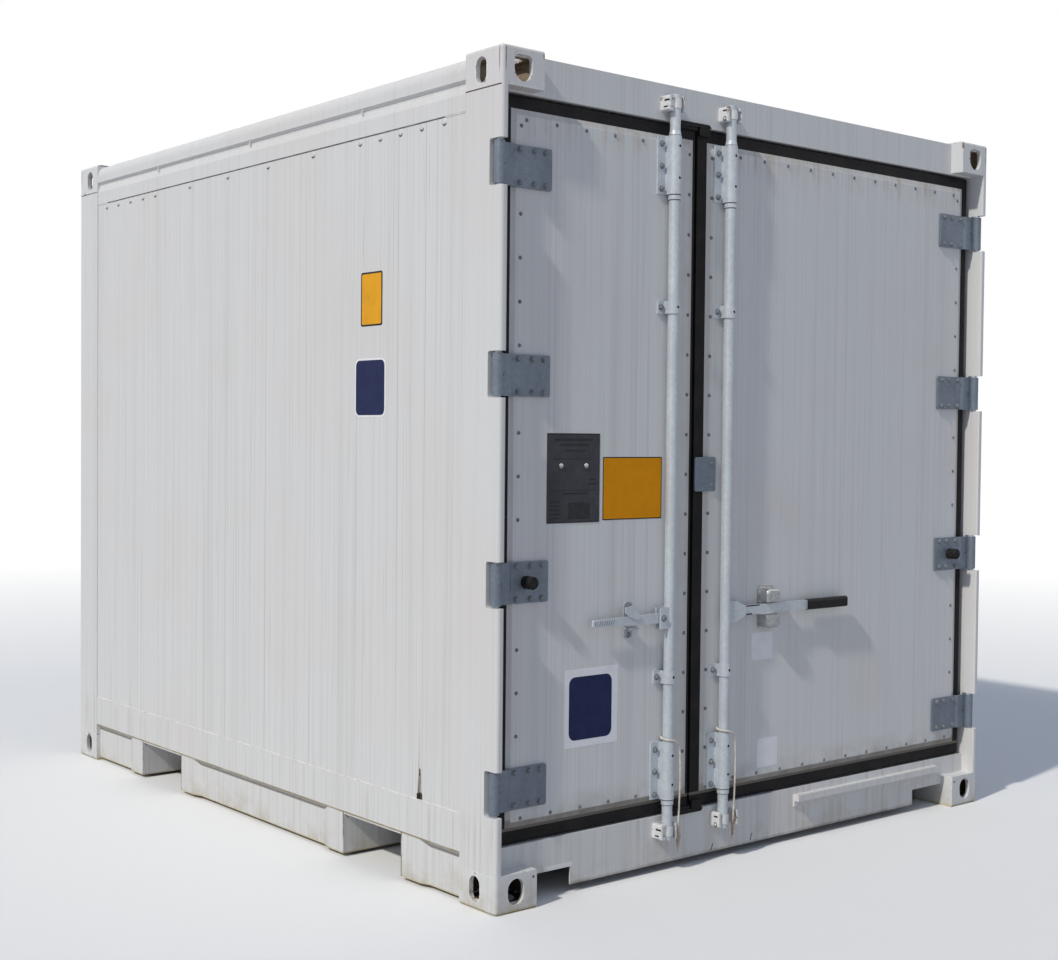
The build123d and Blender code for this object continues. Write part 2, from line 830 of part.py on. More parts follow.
def right_catch(rod_x):
    middle = rod_x - right_catch_from_rod
    half = right_catch_wide / 2
    slot = bar_tall / 2 + catch_clear
    low = handle_height - slot
    high = handle_height + slot
    bed = block(middle - half, middle + half, leaf_face - right_catch_back, leaf_face, low, high)
    wide = half + catch_flange
    tall = right_catch_tall / 2 + catch_flange
    back_plate = block(middle - wide, middle + wide, leaf_face - catch_flange_thick, leaf_face,
                       handle_height - tall, handle_height + tall)
    back_plate = fillet(back_plate.edges().filter_by(Axis.Y), right_catch_round)
    return back_plate + bed + catch_half(middle, 1) + catch_half(middle, -1)


def overlap_plate():
    half = overlap_tall / 2
    body = block(-door_split - overlap_past, -door_split + overlap_on, leaf_face - overlap_thick, leaf_face,
                 overlap_middle - half, overlap_middle + half)
    return fillet(body.edges().filter_by(Axis.Y), overlap_round)


# Tie-back ropes
def rope(name, rod_x):
    top = low_bearing_top + rope_radius + rope_seat
    points = [(rod_x + x, rod_y + y, top + z) for x, y, z in rope_route]
    radii = []
    for before, here, after in zip(points, points[1:], points[2:]):
        first = Vector(*here) - Vector(*before)
        second = Vector(*after) - Vector(*here)
        half_turn = math.radians(first.get_angle(second)) / 2
        radii.append(rope_run_share * min(first.length, second.length) / math.tan(half_turn))
    path = FilletPolyline(*points, radius=radii)
    tube = sweep(Plane(origin=path @ 0, z_dir=path % 0) * Circle(rope_radius), path=path)
    section = math.pi * rope_radius * rope_radius
    print(name, [tuple(round(value, 2) for value in point) for point in points])
    print(name, "radii", [round(value, 1) for value in radii], "length", round(path.length, 1),
          "volume share", round(tube.volume / (section * path.length), 4))
    return tube


left_rod_x = -left_rod_at
right_rod_x = right_rod_at

save("corner_castings_bottom", *four_castings(False))
save("corner_castings_top", *four_castings(True))
post = door_post()
save("door_post_left", post)
save("door_post_right", flipped(post))
far_post = end_post()
save("end_posts", far_post, flipped(far_post))
pins = [hinge_pin(middle) for middle in hinge_heights]
save("hinge_pins", *pins, *[flipped(pin) for pin in pins])
save("door_header", door_header())
save("door_sill", door_sill())
save("sill_bar", sill_bar())
save("end_header", end_header())
save("end_sill", end_sill())
rail = top_rail()
save("top_rail_left", rail)
save("top_rail_right", flipped(rail))
rail = bottom_rail()
save("bottom_rail_left", rail)
save("bottom_rail_right", flipped(rail))
runs = lower_rail()
save("lower_rail_left", *runs)
save("lower_rail_right", *[flipped(run) for run in runs])
save("fork_pockets", fork_pocket(fork_front), fork_pocket(fork_rear))
save("cross_members", *cross_members())
wall = side_wall()
save("side_wall_left", wall)
save("side_wall_right", flipped(wall))
save("end_wall", end_wall())
save("roof", roof())
save("floor_base", floor_base())
save("t_bar_floor", t_bar_floor())
keepers = [keeper(left_rod_x, cam_low, keeper_clear), keeper(left_rod_x, cam_high, keeper_clear)]
keepers.append(flipped(keeper(right_rod_x, cam_low, keeper_rope_clear)))
keepers.append(flipped(keeper(right_rod_x, cam_high, keeper_clear)))
save("cam_keepers", *keepers)

hinges = [hinge(middle) for middle in hinge_heights]
save("left_leaf", leaf(-left_free_edge))
save("left_gasket", gasket(-left_free_edge, -left_gasket_end))
save("left_hinges", *hinges)
save("left_buffer", buffer())
save("left_bearings", *bearings(left_rod_x, -1))
save("left_catch", left_catch(left_rod_x))
save("left_rope", rope("left_rope", left_rod_x))
save("left_lock_rod", lock_rod(left_rod_x) + left_hub(left_rod_x))
save("left_handle", left_handle(left_rod_x))

save("right_leaf", flipped(leaf(right_free_edge)))
save("right_gasket", flipped(right_gasket()))
flaps = [gasket_flap(header_bottom, 1), gasket_flap(sill_top, -1)]
save("gasket_flaps", *[flipped(flap) for flap in flaps])
save("right_hinges", *[flipped(each) for each in hinges])
save("right_buffer", flipped(buffer()))
save("right_bearings", *[flipped(each) for each in bearings(right_rod_x, 1)])
save("right_catch", flipped(right_catch(right_rod_x)))
save("right_rope", rope("right_rope", -right_rod_x))
save("right_lock_rod", flipped(lock_rod(right_rod_x) + right_hub(right_rod_x)))
save("right_handle", flipped(right_handle(right_rod_x)))
save("right_grip", flipped(right_grip(right_rod_x)))
save("overlap_plate", overlap_plate())
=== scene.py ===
import math
import random

import bmesh
import bpy
from mathutils import Matrix, Vector


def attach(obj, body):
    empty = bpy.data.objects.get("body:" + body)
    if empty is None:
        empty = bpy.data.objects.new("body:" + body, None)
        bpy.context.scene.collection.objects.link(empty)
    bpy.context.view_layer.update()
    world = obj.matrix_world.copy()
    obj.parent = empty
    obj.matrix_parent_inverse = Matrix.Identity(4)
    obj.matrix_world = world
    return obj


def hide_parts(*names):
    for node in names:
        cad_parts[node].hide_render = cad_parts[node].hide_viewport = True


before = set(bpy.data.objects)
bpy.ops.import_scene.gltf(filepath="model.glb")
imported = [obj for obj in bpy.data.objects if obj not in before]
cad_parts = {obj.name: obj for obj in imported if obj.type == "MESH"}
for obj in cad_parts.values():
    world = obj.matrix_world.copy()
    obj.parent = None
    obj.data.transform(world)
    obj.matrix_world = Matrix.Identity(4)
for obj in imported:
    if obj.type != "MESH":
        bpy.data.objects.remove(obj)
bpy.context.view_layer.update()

doorFace = -1.4415      # front of the leaves, sill and header
sideFace = -1.214       # outer face of the left wall
rodY = -1.4685          # axis of both lock rods
rodAt = {"left": -0.478, "right": -0.213}
handleZ = 0.846         # height of both handles
barFace = -1.4735       # front of both handles' bars
outward = {"front": Vector((0, -1, 0)), "left": Vector((-1, 0, 0)), "right": Vector((1, 0, 0)),
           "back": Vector((0, 1, 0))}
upward = Vector((0, 0, 1))

# camera at the picture's own viewpoint
viewpoint = {"place": (-4.080, -5.103, 1.439), "yaw": 39.53, "pitch": -1.65, "roll": 0.55,
             "focal": 1557.0, "imageWide": 1058.0, "sensor": 36.0}


def makeCamera(v):
    yaw, pitch, roll = (math.radians(v[k]) for k in ("yaw", "pitch", "roll"))
    ahead = Vector((math.sin(yaw) * math.cos(pitch), math.cos(yaw) * math.cos(pitch), math.sin(pitch)))
    across = Vector((math.cos(yaw), -math.sin(yaw), 0))
    above = across.cross(ahead)
    right = math.cos(roll) * across + math.sin(roll) * above
    up = -math.sin(roll) * across + math.cos(roll) * above
    data = bpy.data.cameras.new("viewCamera")
    data.sensor_width = v["sensor"]
    data.lens = v["focal"] * v["sensor"] / v["imageWide"]
    data.clip_end = 200
    camera = bpy.data.objects.new("viewCamera", data)
    turn = Matrix((right, up, -ahead)).transposed().to_4x4()
    camera.matrix_world = Matrix.Translation(v["place"]) @ turn
    bpy.context.collection.objects.link(camera)
    bpy.context.scene.camera = camera


makeCamera(viewpoint)
print("camera set")


# node helpers
def addNode(tree, kind, inputs=None, **props):
    made = tree.nodes.new(kind)
    for key, value in props.items():
        setattr(made, key, value)
    for key, value in (inputs or {}).items():
        if isinstance(value, bpy.types.NodeSocket):
            tree.links.new(value, made.inputs[key])
        else:
            made.inputs[key].default_value = value
    return made


def newFinish(name, **sockets):
    finish = bpy.data.materials.new(name)
    finish.use_nodes = True
    tree = finish.node_tree
    shader = tree.nodes["Principled BSDF"]
    for key, value in sockets.items():
        shader.inputs[key.replace("_", " ")].default_value = value
    coord = tree.nodes.new("ShaderNodeTexCoord").outputs["Object"]
    return finish, tree, shader, coord


def noise(tree, coord, scale, stretch=(1, 1, 1), detail=4.0, rough=0.55):
    moved = addNode(tree, "ShaderNodeMapping", {"Vector": coord, "Scale": stretch})
    made = addNode(tree, "ShaderNodeTexNoise", {"Vector": moved.outputs[0], "Scale": scale, "Detail": detail,
                                                "Roughness": rough})
    return made.outputs["Fac"]


def ranged(tree, value, low, high, out0=0.0, out1=1.0):
    made = addNode(tree, "ShaderNodeMapRange", {"Value": value, "From Min": low, "From Max": high,
                                                "To Min": out0, "To Max": out1})
    return made.outputs["Result"]


def math2(tree, operation, a, b):
    return addNode(tree, "ShaderNodeMath", {0: a, 1: b}, operation=operation).outputs[0]


def blendColour(tree, share, a, b, how="MIX"):
    made = addNode(tree, "ShaderNodeMix", data_type="RGBA", blend_type=how)
    for index, value in ((0, share), (6, a), (7, b)):
        if isinstance(value, bpy.types.NodeSocket):
            tree.links.new(value, made.inputs[index])
        else:
            made.inputs[index].default_value = value
    return made.outputs[2]


def axes(tree, coord):
    made = addNode(tree, "ShaderNodeSeparateXYZ", {"Vector": coord})
    return made.outputs["X"], made.outputs["Y"], made.outputs["Z"]


def edgeMask(tree, radius):
    # worn rims: where a rounded normal leaves the true one
    rounded = addNode(tree, "ShaderNodeBevel", {"Radius": radius}, samples=6)
    flat = tree.nodes.new("ShaderNodeNewGeometry").outputs["Normal"]
    dot = addNode(tree, "ShaderNodeVectorMath", {0: rounded.outputs[0], 1: flat}, operation="DOT_PRODUCT")
    return ranged(tree, dot.outputs["Value"], 0.993, 0.92)


def bump(tree, shader, height, strength, distance):
    made = addNode(tree, "ShaderNodeBump", {"Height": height, "Strength": strength, "Distance": distance})
    tree.links.new(made.outputs[0], shader.inputs["Normal"])


def rgb(r, g, b):
    return (r, g, b, 1.0)


def within(tree, value, centre, half):
    # 1 where a value lies within half of a centre
    away = math2(tree, "ABSOLUTE", math2(tree, "SUBTRACT", value, centre), 0.0)
    return ranged(tree, away, half + 0.0004, half)


def product(tree, *masks):
    made = masks[0]
    for mask in masks[1:]:
        made = math2(tree, "MULTIPLY", made, mask)
    return made


def stain(tree, colour, tint, *masks):
    return blendColour(tree, product(tree, *masks), colour, paint[tint])


def mirrored(tree, value):
    return math2(tree, "ABSOLUTE", value, 0.0)


paint = {"white": rgb(0.735, 0.74, 0.745), "streak": rgb(0.58, 0.575, 0.56), "blush": rgb(0.735, 0.705, 0.71),
         # of the next line, the grey-brown serves rims, seams and stains, and also a painted shadow line by the
         # drain
         "dirt": rgb(0.43, 0.35, 0.21), "rust": rgb(0.12, 0.05, 0.022), "rimAndShade": rgb(0.27, 0.245, 0.215),
         "beige": rgb(0.60, 0.56, 0.51), "chip": rgb(0.86, 0.86, 0.85), "run": rgb(0.45, 0.43, 0.40),
         # of the next line, the near-black is painted shade for grooves, holes and outlets
         "drip": rgb(0.47, 0.39, 0.30), "ochre": rgb(0.56, 0.46, 0.20), "grooveShade": rgb(0.09, 0.075, 0.055),
         # of the next line, the dark brown is muck at the fork pockets and a painted shadow strip under the side
         # bands
         "lining": rgb(0.69, 0.695, 0.69), "muckAndShadow": rgb(0.21, 0.185, 0.15), "railEdge": rgb(0.33, 0.265, 0.14),
         "roomLow": rgb(0.045, 0.034, 0.025), "roomHigh": rgb(0.40, 0.33, 0.24)}
soil = {"seams": (-0.985, -0.705, 0.19, 0.55, 0.90), "gapX": -0.345, "rimLow": 0.262, "leafTop": 2.42,
        "castRoomX": 1.1325, "castRoomHalfX": 0.071, "castRoomY": 1.4011, "castRoomHalfY": 0.0787,
        "castRoomZ": 1.2305, "castRoomHalfZ": 0.0372, "midZ": 1.2955, "cornerX": 1.2055, "cornerY": 1.4820,
        "spotX": 1.0705, "spotZ": 0.0975, "spotRadius": 0.0045, "castingUnder": 2.473, "notchX": -0.926,
        "drainY": -1.0985, "notchHalf": 0.058, "notchZ": 0.0915, "notchHalfZ": 0.0075, "sillLow": 0.026,
        "wallSeams": ((-1.110, 0.30), (-0.960, 0.26), (-0.457, 0.24), (-0.122, 0.36), (0.176, 0.26),
                      (0.870, 0.2)), "seamHalf": 0.0012,
        "lowSeams": ((-0.679, 0.3), (-0.430, 0.55)), "railBottom": 0.155, "bandX": 1.217, "bayEnd": 1.3165,
        "pockets": (-0.8295, 0.6995), "pocketHalf": 0.172}


def wallSoil(tree, colour, place, grime, runs):
    # clean lining inside; outside faint seams, a brown stain above the drain, a painted shadow line up the drain
    # channel's edge and painted shade in its outlet
    x, y, z, coord = place
    wide = mirrored(tree, x)
    inside = product(tree, ranged(tree, wide, 1.19, 1.18), ranged(tree, mirrored(tree, y), 1.36, 1.35),
                     ranged(tree, z, 2.54, 2.53))
    colour = stain(tree, colour, "lining", inside)
    outside = ranged(tree, wide, 1.1995, 1.2005)
    for seam, share in soil["wallSeams"]:
        colour = stain(tree, colour, "rimAndShade", within(tree, y, seam, soil["seamHalf"]), outside, share)
    for seam, share in soil["lowSeams"]:
        fade = ranged(tree, z, 0.95, 0.5, 0.0, share)
        colour = stain(tree, colour, "rimAndShade", within(tree, y, seam, soil["seamHalf"]), outside, fade)
    drain = soil["drainY"]
    colour = stain(tree, colour, "drip", within(tree, y, drain, 0.012), ranged(tree, z, 0.40, 0.285),
                   ranged(tree, runs, 0.35, 0.6, 0.1, 0.8), outside)
    # painted shadow: dark line up the shaded edge of the drain channel
    colour = stain(tree, colour, "rimAndShade", within(tree, y, drain + 0.0035, 0.0016),
                   ranged(tree, z, 0.56, 0.36, 0.0, 0.85), outside)
    # painted shade in the drain's outlet
    return stain(tree, colour, "grooveShade", within(tree, y, drain, 0.0155), ranged(tree, z, 0.300, 0.295), outside)


def doorSoil(tree, colour, place, grime, runs):
    # grey-brown rim, faint sheet seams, beige strip beside the gap, stains at foot and top
    x, y, z, coord = place
    front = ranged(tree, y, doorFace + 0.012, doorFace + 0.008)
    colour = stain(tree, colour, "rimAndShade", ranged(tree, y, doorFace + 0.0003, doorFace + 0.0012), front,
                   ranged(tree, grime, 0.2, 0.6, 0.6, 1.0),
                   ranged(tree, z, soil["rimLow"] + 0.008, soil["rimLow"], 0.3, 1.0))
    for seam in soil["seams"]:
        colour = stain(tree, colour, "rimAndShade", within(tree, x, seam, 0.0007), 0.22)
    fromGap = mirrored(tree, math2(tree, "SUBTRACT", x, soil["gapX"]))
    colour = stain(tree, colour, "beige", ranged(tree, fromGap, 0.085, 0.07), front,
                   ranged(tree, grime, 0.3, 0.7, 0.15, 0.6))
    colour = stain(tree, colour, "rimAndShade", ranged(tree, z, 0.33, 0.255), ranged(tree, grime, 0.4, 0.7), 0.55)
    return stain(tree, colour, "drip", ranged(tree, z, soil["leafTop"] - 0.11, soil["leafTop"]),
                 ranged(tree, runs, 0.45, 0.62), ranged(tree, grime, 0.4, 0.6, 0.1, 0.6))


def frameSoil(tree, colour, place, grime, runs):
    # painted shade of a groove under the top castings, ochre line and dirt on low edges, a near-white patch low
    # in the sill's notch
    x, y, z, coord = place
    wide = mirrored(tree, x)
    patches = ranged(tree, grime, 0.3, 0.5, 0.4, 1.0)
    # painted shade: dark line of a groove under each top casting
    colour = stain(tree, colour, "grooveShade", within(tree, z, soil["castingUnder"], 0.0024),
                   ranged(tree, wide, 1.2165, 1.2175), patches)
    colour = stain(tree, colour, "ochre", ranged(tree, z, 0.019, 0.0155, 0.0, 0.6))
    # each side band: rusty low edge, under it a painted shadow strip with muck, as tall as the recess is deep,
    # and torn paint at the fork pockets
    bay = ranged(tree, mirrored(tree, y), soil["bayEnd"] + 0.001, soil["bayEnd"])
    low = soil["railBottom"]
    colour = stain(tree, colour, "railEdge", bay, ranged(tree, wide, 1.2154, 1.2164),
                   ranged(tree, z, low + 0.0058, low + 0.0036), ranged(tree, z, low - 0.002, low - 0.001),
                   ranged(tree, grime, 0.25, 0.55, 0.45, 1.0))
    # painted shadow: dark strip below the band's low edge, tapering with the rail's recess depth
    deep = math2(tree, "SUBTRACT", soil["bandX"], wide)
    reachLow = math2(tree, "ADD", z, math2(tree, "MULTIPLY", deep, 1.4))
    reachHigh = math2(tree, "ADD", z, math2(tree, "MULTIPLY", deep, 0.9))
    colour = stain(tree, colour, "muckAndShadow", bay, ranged(tree, wide, 1.196, 1.199),
                   ranged(tree, wide, 1.2146, 1.2140), ranged(tree, reachLow, low, low + 0.003),
                   ranged(tree, reachHigh, low + 0.002, low), 0.9)
    for pocket in soil["pockets"]:
        away = mirrored(tree, math2(tree, "SUBTRACT", y, pocket))
        colour = stain(tree, colour, "muckAndShadow", within(tree, away, soil["pocketHalf"], 0.003),
                       ranged(tree, wide, 1.2135, 1.2145), ranged(tree, z, low + 0.001, low),
                       ranged(tree, grime, 0.4, 0.5, 0.25, 0.95))
    front = ranged(tree, mirrored(tree, y), 1.434, 1.438)
    colour = stain(tree, colour, "rimAndShade", front, ranged(tree, z, soil["sillLow"] + 0.012, soil["sillLow"]),
                   ranged(tree, grime, 0.35, 0.6, 0.2, 0.9))
    return stain(tree, colour, "chip", front, within(tree, x, soil["notchX"], soil["notchHalf"]),
                 within(tree, z, soil["notchZ"], soil["notchHalfZ"]), ranged(tree, grime, 0.3, 0.5, 0.5, 1.0))


def castSoil(tree, colour, place, grime, runs):
    # rusty rooms, chipped rims, cracked top corners, painted shade of the groove under the top castings and of
    # the small hole low at the door end
    x, y, z, coord = place
    wide, deep = mirrored(tree, x), mirrored(tree, y)
    patchy = noise(tree, coord, 26.0, (1, 1, 1), 6.0, 0.7)
    tall = mirrored(tree, math2(tree, "SUBTRACT", z, soil["midZ"]))
    room = product(tree, within(tree, wide, soil["castRoomX"], soil["castRoomHalfX"]),
                   within(tree, deep, soil["castRoomY"], soil["castRoomHalfY"]),
                   within(tree, tall, soil["castRoomZ"], soil["castRoomHalfZ"]))
    roomTint = blendColour(tree, ranged(tree, z, 1.0, 1.1), paint["roomLow"], paint["roomHigh"])
    roomTint = stain(tree, roomTint, "rust", ranged(tree, grime, 0.45, 0.65, 0.0, 0.5))
    colour = blendColour(tree, room, colour, roomTint)
    worn = edgeMask(tree, 0.017)
    colour = stain(tree, colour, "chip", worn, ranged(tree, patchy, 0.5, 0.56))
    limit = ranged(tree, z, 2.555, 2.575, 0.585, 0.515)
    colour = stain(tree, colour, "rust", worn, ranged(tree, math2(tree, "SUBTRACT", patchy, limit), 0.0, 0.05))
    crackSide = product(tree, within(tree, deep, soil["cornerY"], 0.0013), ranged(tree, wide, 1.2178, 1.2184))
    crackEnd = product(tree, within(tree, wide, soil["cornerX"], 0.0013), ranged(tree, deep, 1.4943, 1.4949))
    colour = stain(tree, colour, "rust", math2(tree, "MAXIMUM", crackSide, crackEnd),
                   ranged(tree, z, 2.50, 2.53), ranged(tree, patchy, 0.36, 0.46))
    # painted shade: dark line of the groove under each top casting
    colour = stain(tree, colour, "grooveShade", within(tree, z, soil["castingUnder"], 0.0016),
                   ranged(tree, wide, 1.2165, 1.2175), ranged(tree, grime, 0.3, 0.5, 0.4, 1.0))
    # painted shade: dark disc of the small hole low at the door end
    across = math2(tree, "POWER", math2(tree, "SUBTRACT", wide, soil["spotX"]), 2.0)
    rise = math2(tree, "POWER", math2(tree, "SUBTRACT", z, soil["spotZ"]), 2.0)
    reach = math2(tree, "SQRT", math2(tree, "ADD", across, rise), 0.0)
    colour = stain(tree, colour, "grooveShade", ranged(tree, reach, soil["spotRadius"], soil["spotRadius"] * 0.9),
                   ranged(tree, y, -1.4945, -1.495))
    return stain(tree, colour, "ochre", ranged(tree, z, 0.012, 0.002), ranged(tree, grime, 0.35, 0.6, 0.2, 0.9))


def weatheredPaint(name, streaks, dirtTop, addSoil=None):
    finish, tree, shader, coord = newFinish(name, Specular_IOR_Level=0.3)
    x, y, z = axes(tree, coord)
    fine = noise(tree, coord, 1.0, (160, 160, 0.5), 3.0)
    broad = noise(tree, coord, 1.0, (21, 21, 0.35), 2.0)
    runs = noise(tree, coord, 1.0, (60, 60, 1.6), 2.0)
    cloud = noise(tree, coord, 1.4, (1, 1, 1), 3.0)
    grime = noise(tree, coord, 9.0, (1, 1, 1), 6.0, 0.65)
    colour = stain(tree, paint["white"], "blush", ranged(tree, cloud, 0.5, 0.68, 0.0, 0.75))
    colour = stain(tree, colour, "streak", ranged(tree, fine, 0.50, 0.70, 0.0, 0.6 * streaks))
    colour = stain(tree, colour, "streak", ranged(tree, broad, 0.55, 0.75, 0.0, 0.4 * streaks))
    colour = stain(tree, colour, "run", ranged(tree, runs, 0.66, 0.74, 0.0, 0.28 * streaks))
    low = product(tree, ranged(tree, z, dirtTop, 0.0), ranged(tree, grime, 0.42, 0.66))
    colour = stain(tree, colour, "dirt", ranged(tree, low, 0.1, 0.9, 0.0, 0.5))
    colour = stain(tree, colour, "drip", ranged(tree, z, 0.30, 0.24),
                   ranged(tree, runs, 0.48, 0.72, 0.0, 0.42 * streaks))
    if addSoil:
        colour = addSoil(tree, colour, (x, y, z, coord), grime, runs)
    tree.links.new(colour, shader.inputs["Base Color"])
    tree.links.new(ranged(tree, grime, 0.3, 0.7, 0.42, 0.62), shader.inputs["Roughness"])
    ripple = math2(tree, "ADD", fine, math2(tree, "MULTIPLY", noise(tree, coord, 260.0), 0.35))
    bump(tree, shader, ripple, 0.12, 0.0012)
    return finish


wallPaint = weatheredPaint("wallPaint", 1.0, 0.20, wallSoil)
framePaint = weatheredPaint("framePaint", 0.62, 0.13, frameSoil)
doorPaint = weatheredPaint("doorPaint", 0.7, 0.05, doorSoil)
castPaint = weatheredPaint("castPaint", 0.3, 0.14, castSoil)


def metalFinish(name, base, dark, metallic, rough, cams=()):
    finish, tree, shader, coord = newFinish(name, Metallic=metallic)
    cells = addNode(tree, "ShaderNodeTexVoronoi", {"Vector": coord, "Scale": 115.0}).outputs["Color"]
    spangle = addNode(tree, "ShaderNodeSeparateColor", {0: cells}).outputs[0]
    cloud = noise(tree, coord, 14.0, (1, 1, 0.5), 5.0, 0.6)
    colour = blendColour(tree, ranged(tree, spangle, 0.0, 1.0, 0.0, 0.5), base, dark)
    colour = blendColour(tree, ranged(tree, cloud, 0.45, 0.75, 0.0, 0.7), colour, dark)
    for cam in cams:    # white paint left on a rod's cams
        colour = stain(tree, colour, "white", within(tree, axes(tree, coord)[2], cam, 0.0152))
    tree.links.new(colour, shader.inputs["Base Color"])
    tree.links.new(ranged(tree, cloud, 0.3, 0.7, rough - 0.07, rough + 0.1), shader.inputs["Roughness"])
    bump(tree, shader, cloud, 0.1, 0.0008)
    return finish


zincGear = metalFinish("zincGear", rgb(0.62, 0.67, 0.72), rgb(0.46, 0.50, 0.545), 0.2, 0.44)
rodZinc = metalFinish("rodZinc", rgb(0.62, 0.67, 0.72), rgb(0.46, 0.50, 0.545), 0.2, 0.44, (0.141, 2.519))
zincDull = metalFinish("zincDull", rgb(0.44, 0.47, 0.50), rgb(0.28, 0.30, 0.32), 0.25, 0.46)
zincHinge = metalFinish("zincHinge", rgb(0.205, 0.245, 0.305), rgb(0.135, 0.16, 0.20), 0.3, 0.5)
brightCatch = metalFinish("brightCatch", rgb(0.56, 0.57, 0.58), rgb(0.27, 0.27, 0.28), 0.9, 0.2)
floorMetal = metalFinish("floorMetal", rgb(0.60, 0.61, 0.62), rgb(0.45, 0.455, 0.46), 0.8, 0.38)


def dullFinish(name, base, worn, scale, rough, depth=0.0006, highlightBand=None):
    finish, tree, shader, coord = newFinish(name, Roughness=rough, Specular_IOR_Level=0.15)
    spots = noise(tree, coord, scale, (1, 1, 1), 6.0, 0.65)
    colour = blendColour(tree, ranged(tree, spots, 0.42, 0.72), base, worn)
    # painted highlight: a lighter band at one height, where a rounded gasket top catches the light
    if highlightBand:
        middle, half, tint = highlightBand
        colour = blendColour(tree, within(tree, axes(tree, coord)[2], middle, half), colour, tint)
    tree.links.new(colour, shader.inputs["Base Color"])
    bump(tree, shader, spots, 0.2, depth)
    return finish


# black rubber, with a painted highlight band along the top of the bottom gaskets
sealRubber = dullFinish("sealRubber", rgb(0.009, 0.009, 0.011), rgb(0.022, 0.019, 0.018), 12.0, 0.62,
                        highlightBand=(0.2365, 0.0045, rgb(0.17, 0.15, 0.13)))
bufferRubber = dullFinish("bufferRubber", rgb(0.012, 0.012, 0.013), rgb(0.035, 0.034, 0.033), 40.0, 0.7)
gripSleeve = dullFinish("gripSleeve", rgb(0.008, 0.008, 0.009), rgb(0.022, 0.022, 0.022), 60.0, 0.38)
# near-black for painted shade in holes, slits, slots and gaps
recessShade = dullFinish("recessShade", rgb(0.012, 0.012, 0.012), rgb(0.03, 0.024, 0.018), 80.0, 0.8)
# dark grey for the lap sealant line, and for the painted shadow crescents under the side rivets
sealantAndShadow = dullFinish("sealantAndShadow", rgb(0.10, 0.098, 0.095), rgb(0.26, 0.255, 0.25), 30.0, 0.7)
weldPaint = dullFinish("weldPaint", rgb(0.76, 0.755, 0.74), rgb(0.58, 0.55, 0.48), 22.0, 0.45)
boltZinc = dullFinish("boltZinc", rgb(0.27, 0.29, 0.31), rgb(0.14, 0.145, 0.15), 90.0, 0.42)
rivetGrey = dullFinish("rivetGrey", rgb(0.24, 0.25, 0.265), rgb(0.12, 0.122, 0.126), 120.0, 0.45)
plateGrey = dullFinish("plateGrey", rgb(0.054, 0.056, 0.066), rgb(0.072, 0.074, 0.084), 35.0, 0.5)
plateBar = dullFinish("plateBar", rgb(0.030, 0.031, 0.035), rgb(0.044, 0.045, 0.050), 60.0, 0.5)
plateYellow = dullFinish("plateYellow", rgb(0.78, 0.305, 0.001), rgb(0.72, 0.275, 0.002), 18.0, 0.6)
labelNavy = dullFinish("labelNavy", rgb(0.012, 0.019, 0.075), rgb(0.018, 0.027, 0.09), 20.0, 0.5)
labelAmber = dullFinish("labelAmber", rgb(0.87, 0.41, 0.018), rgb(0.76, 0.35, 0.02), 16.0, 0.5)
labelWhite = dullFinish("labelWhite", rgb(0.90, 0.90, 0.94), rgb(0.82, 0.82, 0.85), 16.0, 0.4)
labelInk = dullFinish("labelInk", rgb(0.012, 0.012, 0.013), rgb(0.04, 0.04, 0.04), 45.0, 0.5)
ropeFibre = dullFinish("ropeFibre", rgb(0.80, 0.76, 0.70), rgb(0.56, 0.49, 0.42), 90.0, 0.9, 0.0012)
frayedFibre = dullFinish("frayedFibre", rgb(0.58, 0.47, 0.39), rgb(0.24, 0.16, 0.12), 160.0, 0.95, 0.001)
print("finishes made")


# finishes of the CAD nodes
nodeFinish = {
    wallPaint: ["side_wall_left", "side_wall_right", "end_wall", "roof"],
    framePaint: ["door_post_left", "door_post_right", "end_posts", "door_header", "door_sill", "sill_bar",
                 "end_header", "end_sill", "top_rail_left", "top_rail_right", "bottom_rail_left",
                 "bottom_rail_right", "lower_rail_left", "lower_rail_right", "fork_pockets", "cross_members",
                 "floor_base"],
    castPaint: ["corner_castings_bottom", "corner_castings_top", "cam_keepers"],
    doorPaint: ["left_leaf", "right_leaf"],
    zincGear: ["left_bearings", "right_bearings", "left_handle", "right_handle", "hinge_pins"],
    rodZinc: ["left_lock_rod", "right_lock_rod"],
    zincDull: ["left_catch"],
    zincHinge: ["left_hinges", "right_hinges", "overlap_plate"],
    brightCatch: ["right_catch"],
    floorMetal: ["t_bar_floor"],
    sealRubber: ["left_gasket", "right_gasket", "gasket_flaps"],
    bufferRubber: ["left_buffer", "right_buffer"],
    gripSleeve: ["right_grip"],
}
for finish, names in nodeFinish.items():
    for name in names:
        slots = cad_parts[name].data.materials
        slots.clear()
        slots.append(finish)


# mesh helpers
def addPiece(name, shape, finish, body, smooth=True, angle=35):
    bmesh.ops.recalc_face_normals(shape, faces=shape.faces)
    mesh = bpy.data.meshes.new(name)
    shape.to_mesh(mesh)
    shape.free()
    mesh.materials.append(finish)
    piece = bpy.data.objects.new(name, mesh)
    bpy.context.collection.objects.link(piece)
    if smooth:
        mesh.shade_smooth()
        mesh.set_sharp_from_angle(angle=math.radians(angle))
    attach(piece, body)
    return piece


def aim(place, direction, spin=0.0):
    turn = upward.rotation_difference(direction).to_matrix().to_4x4()
    return Matrix.Translation(place) @ turn @ Matrix.Rotation(spin, 4, "Z")


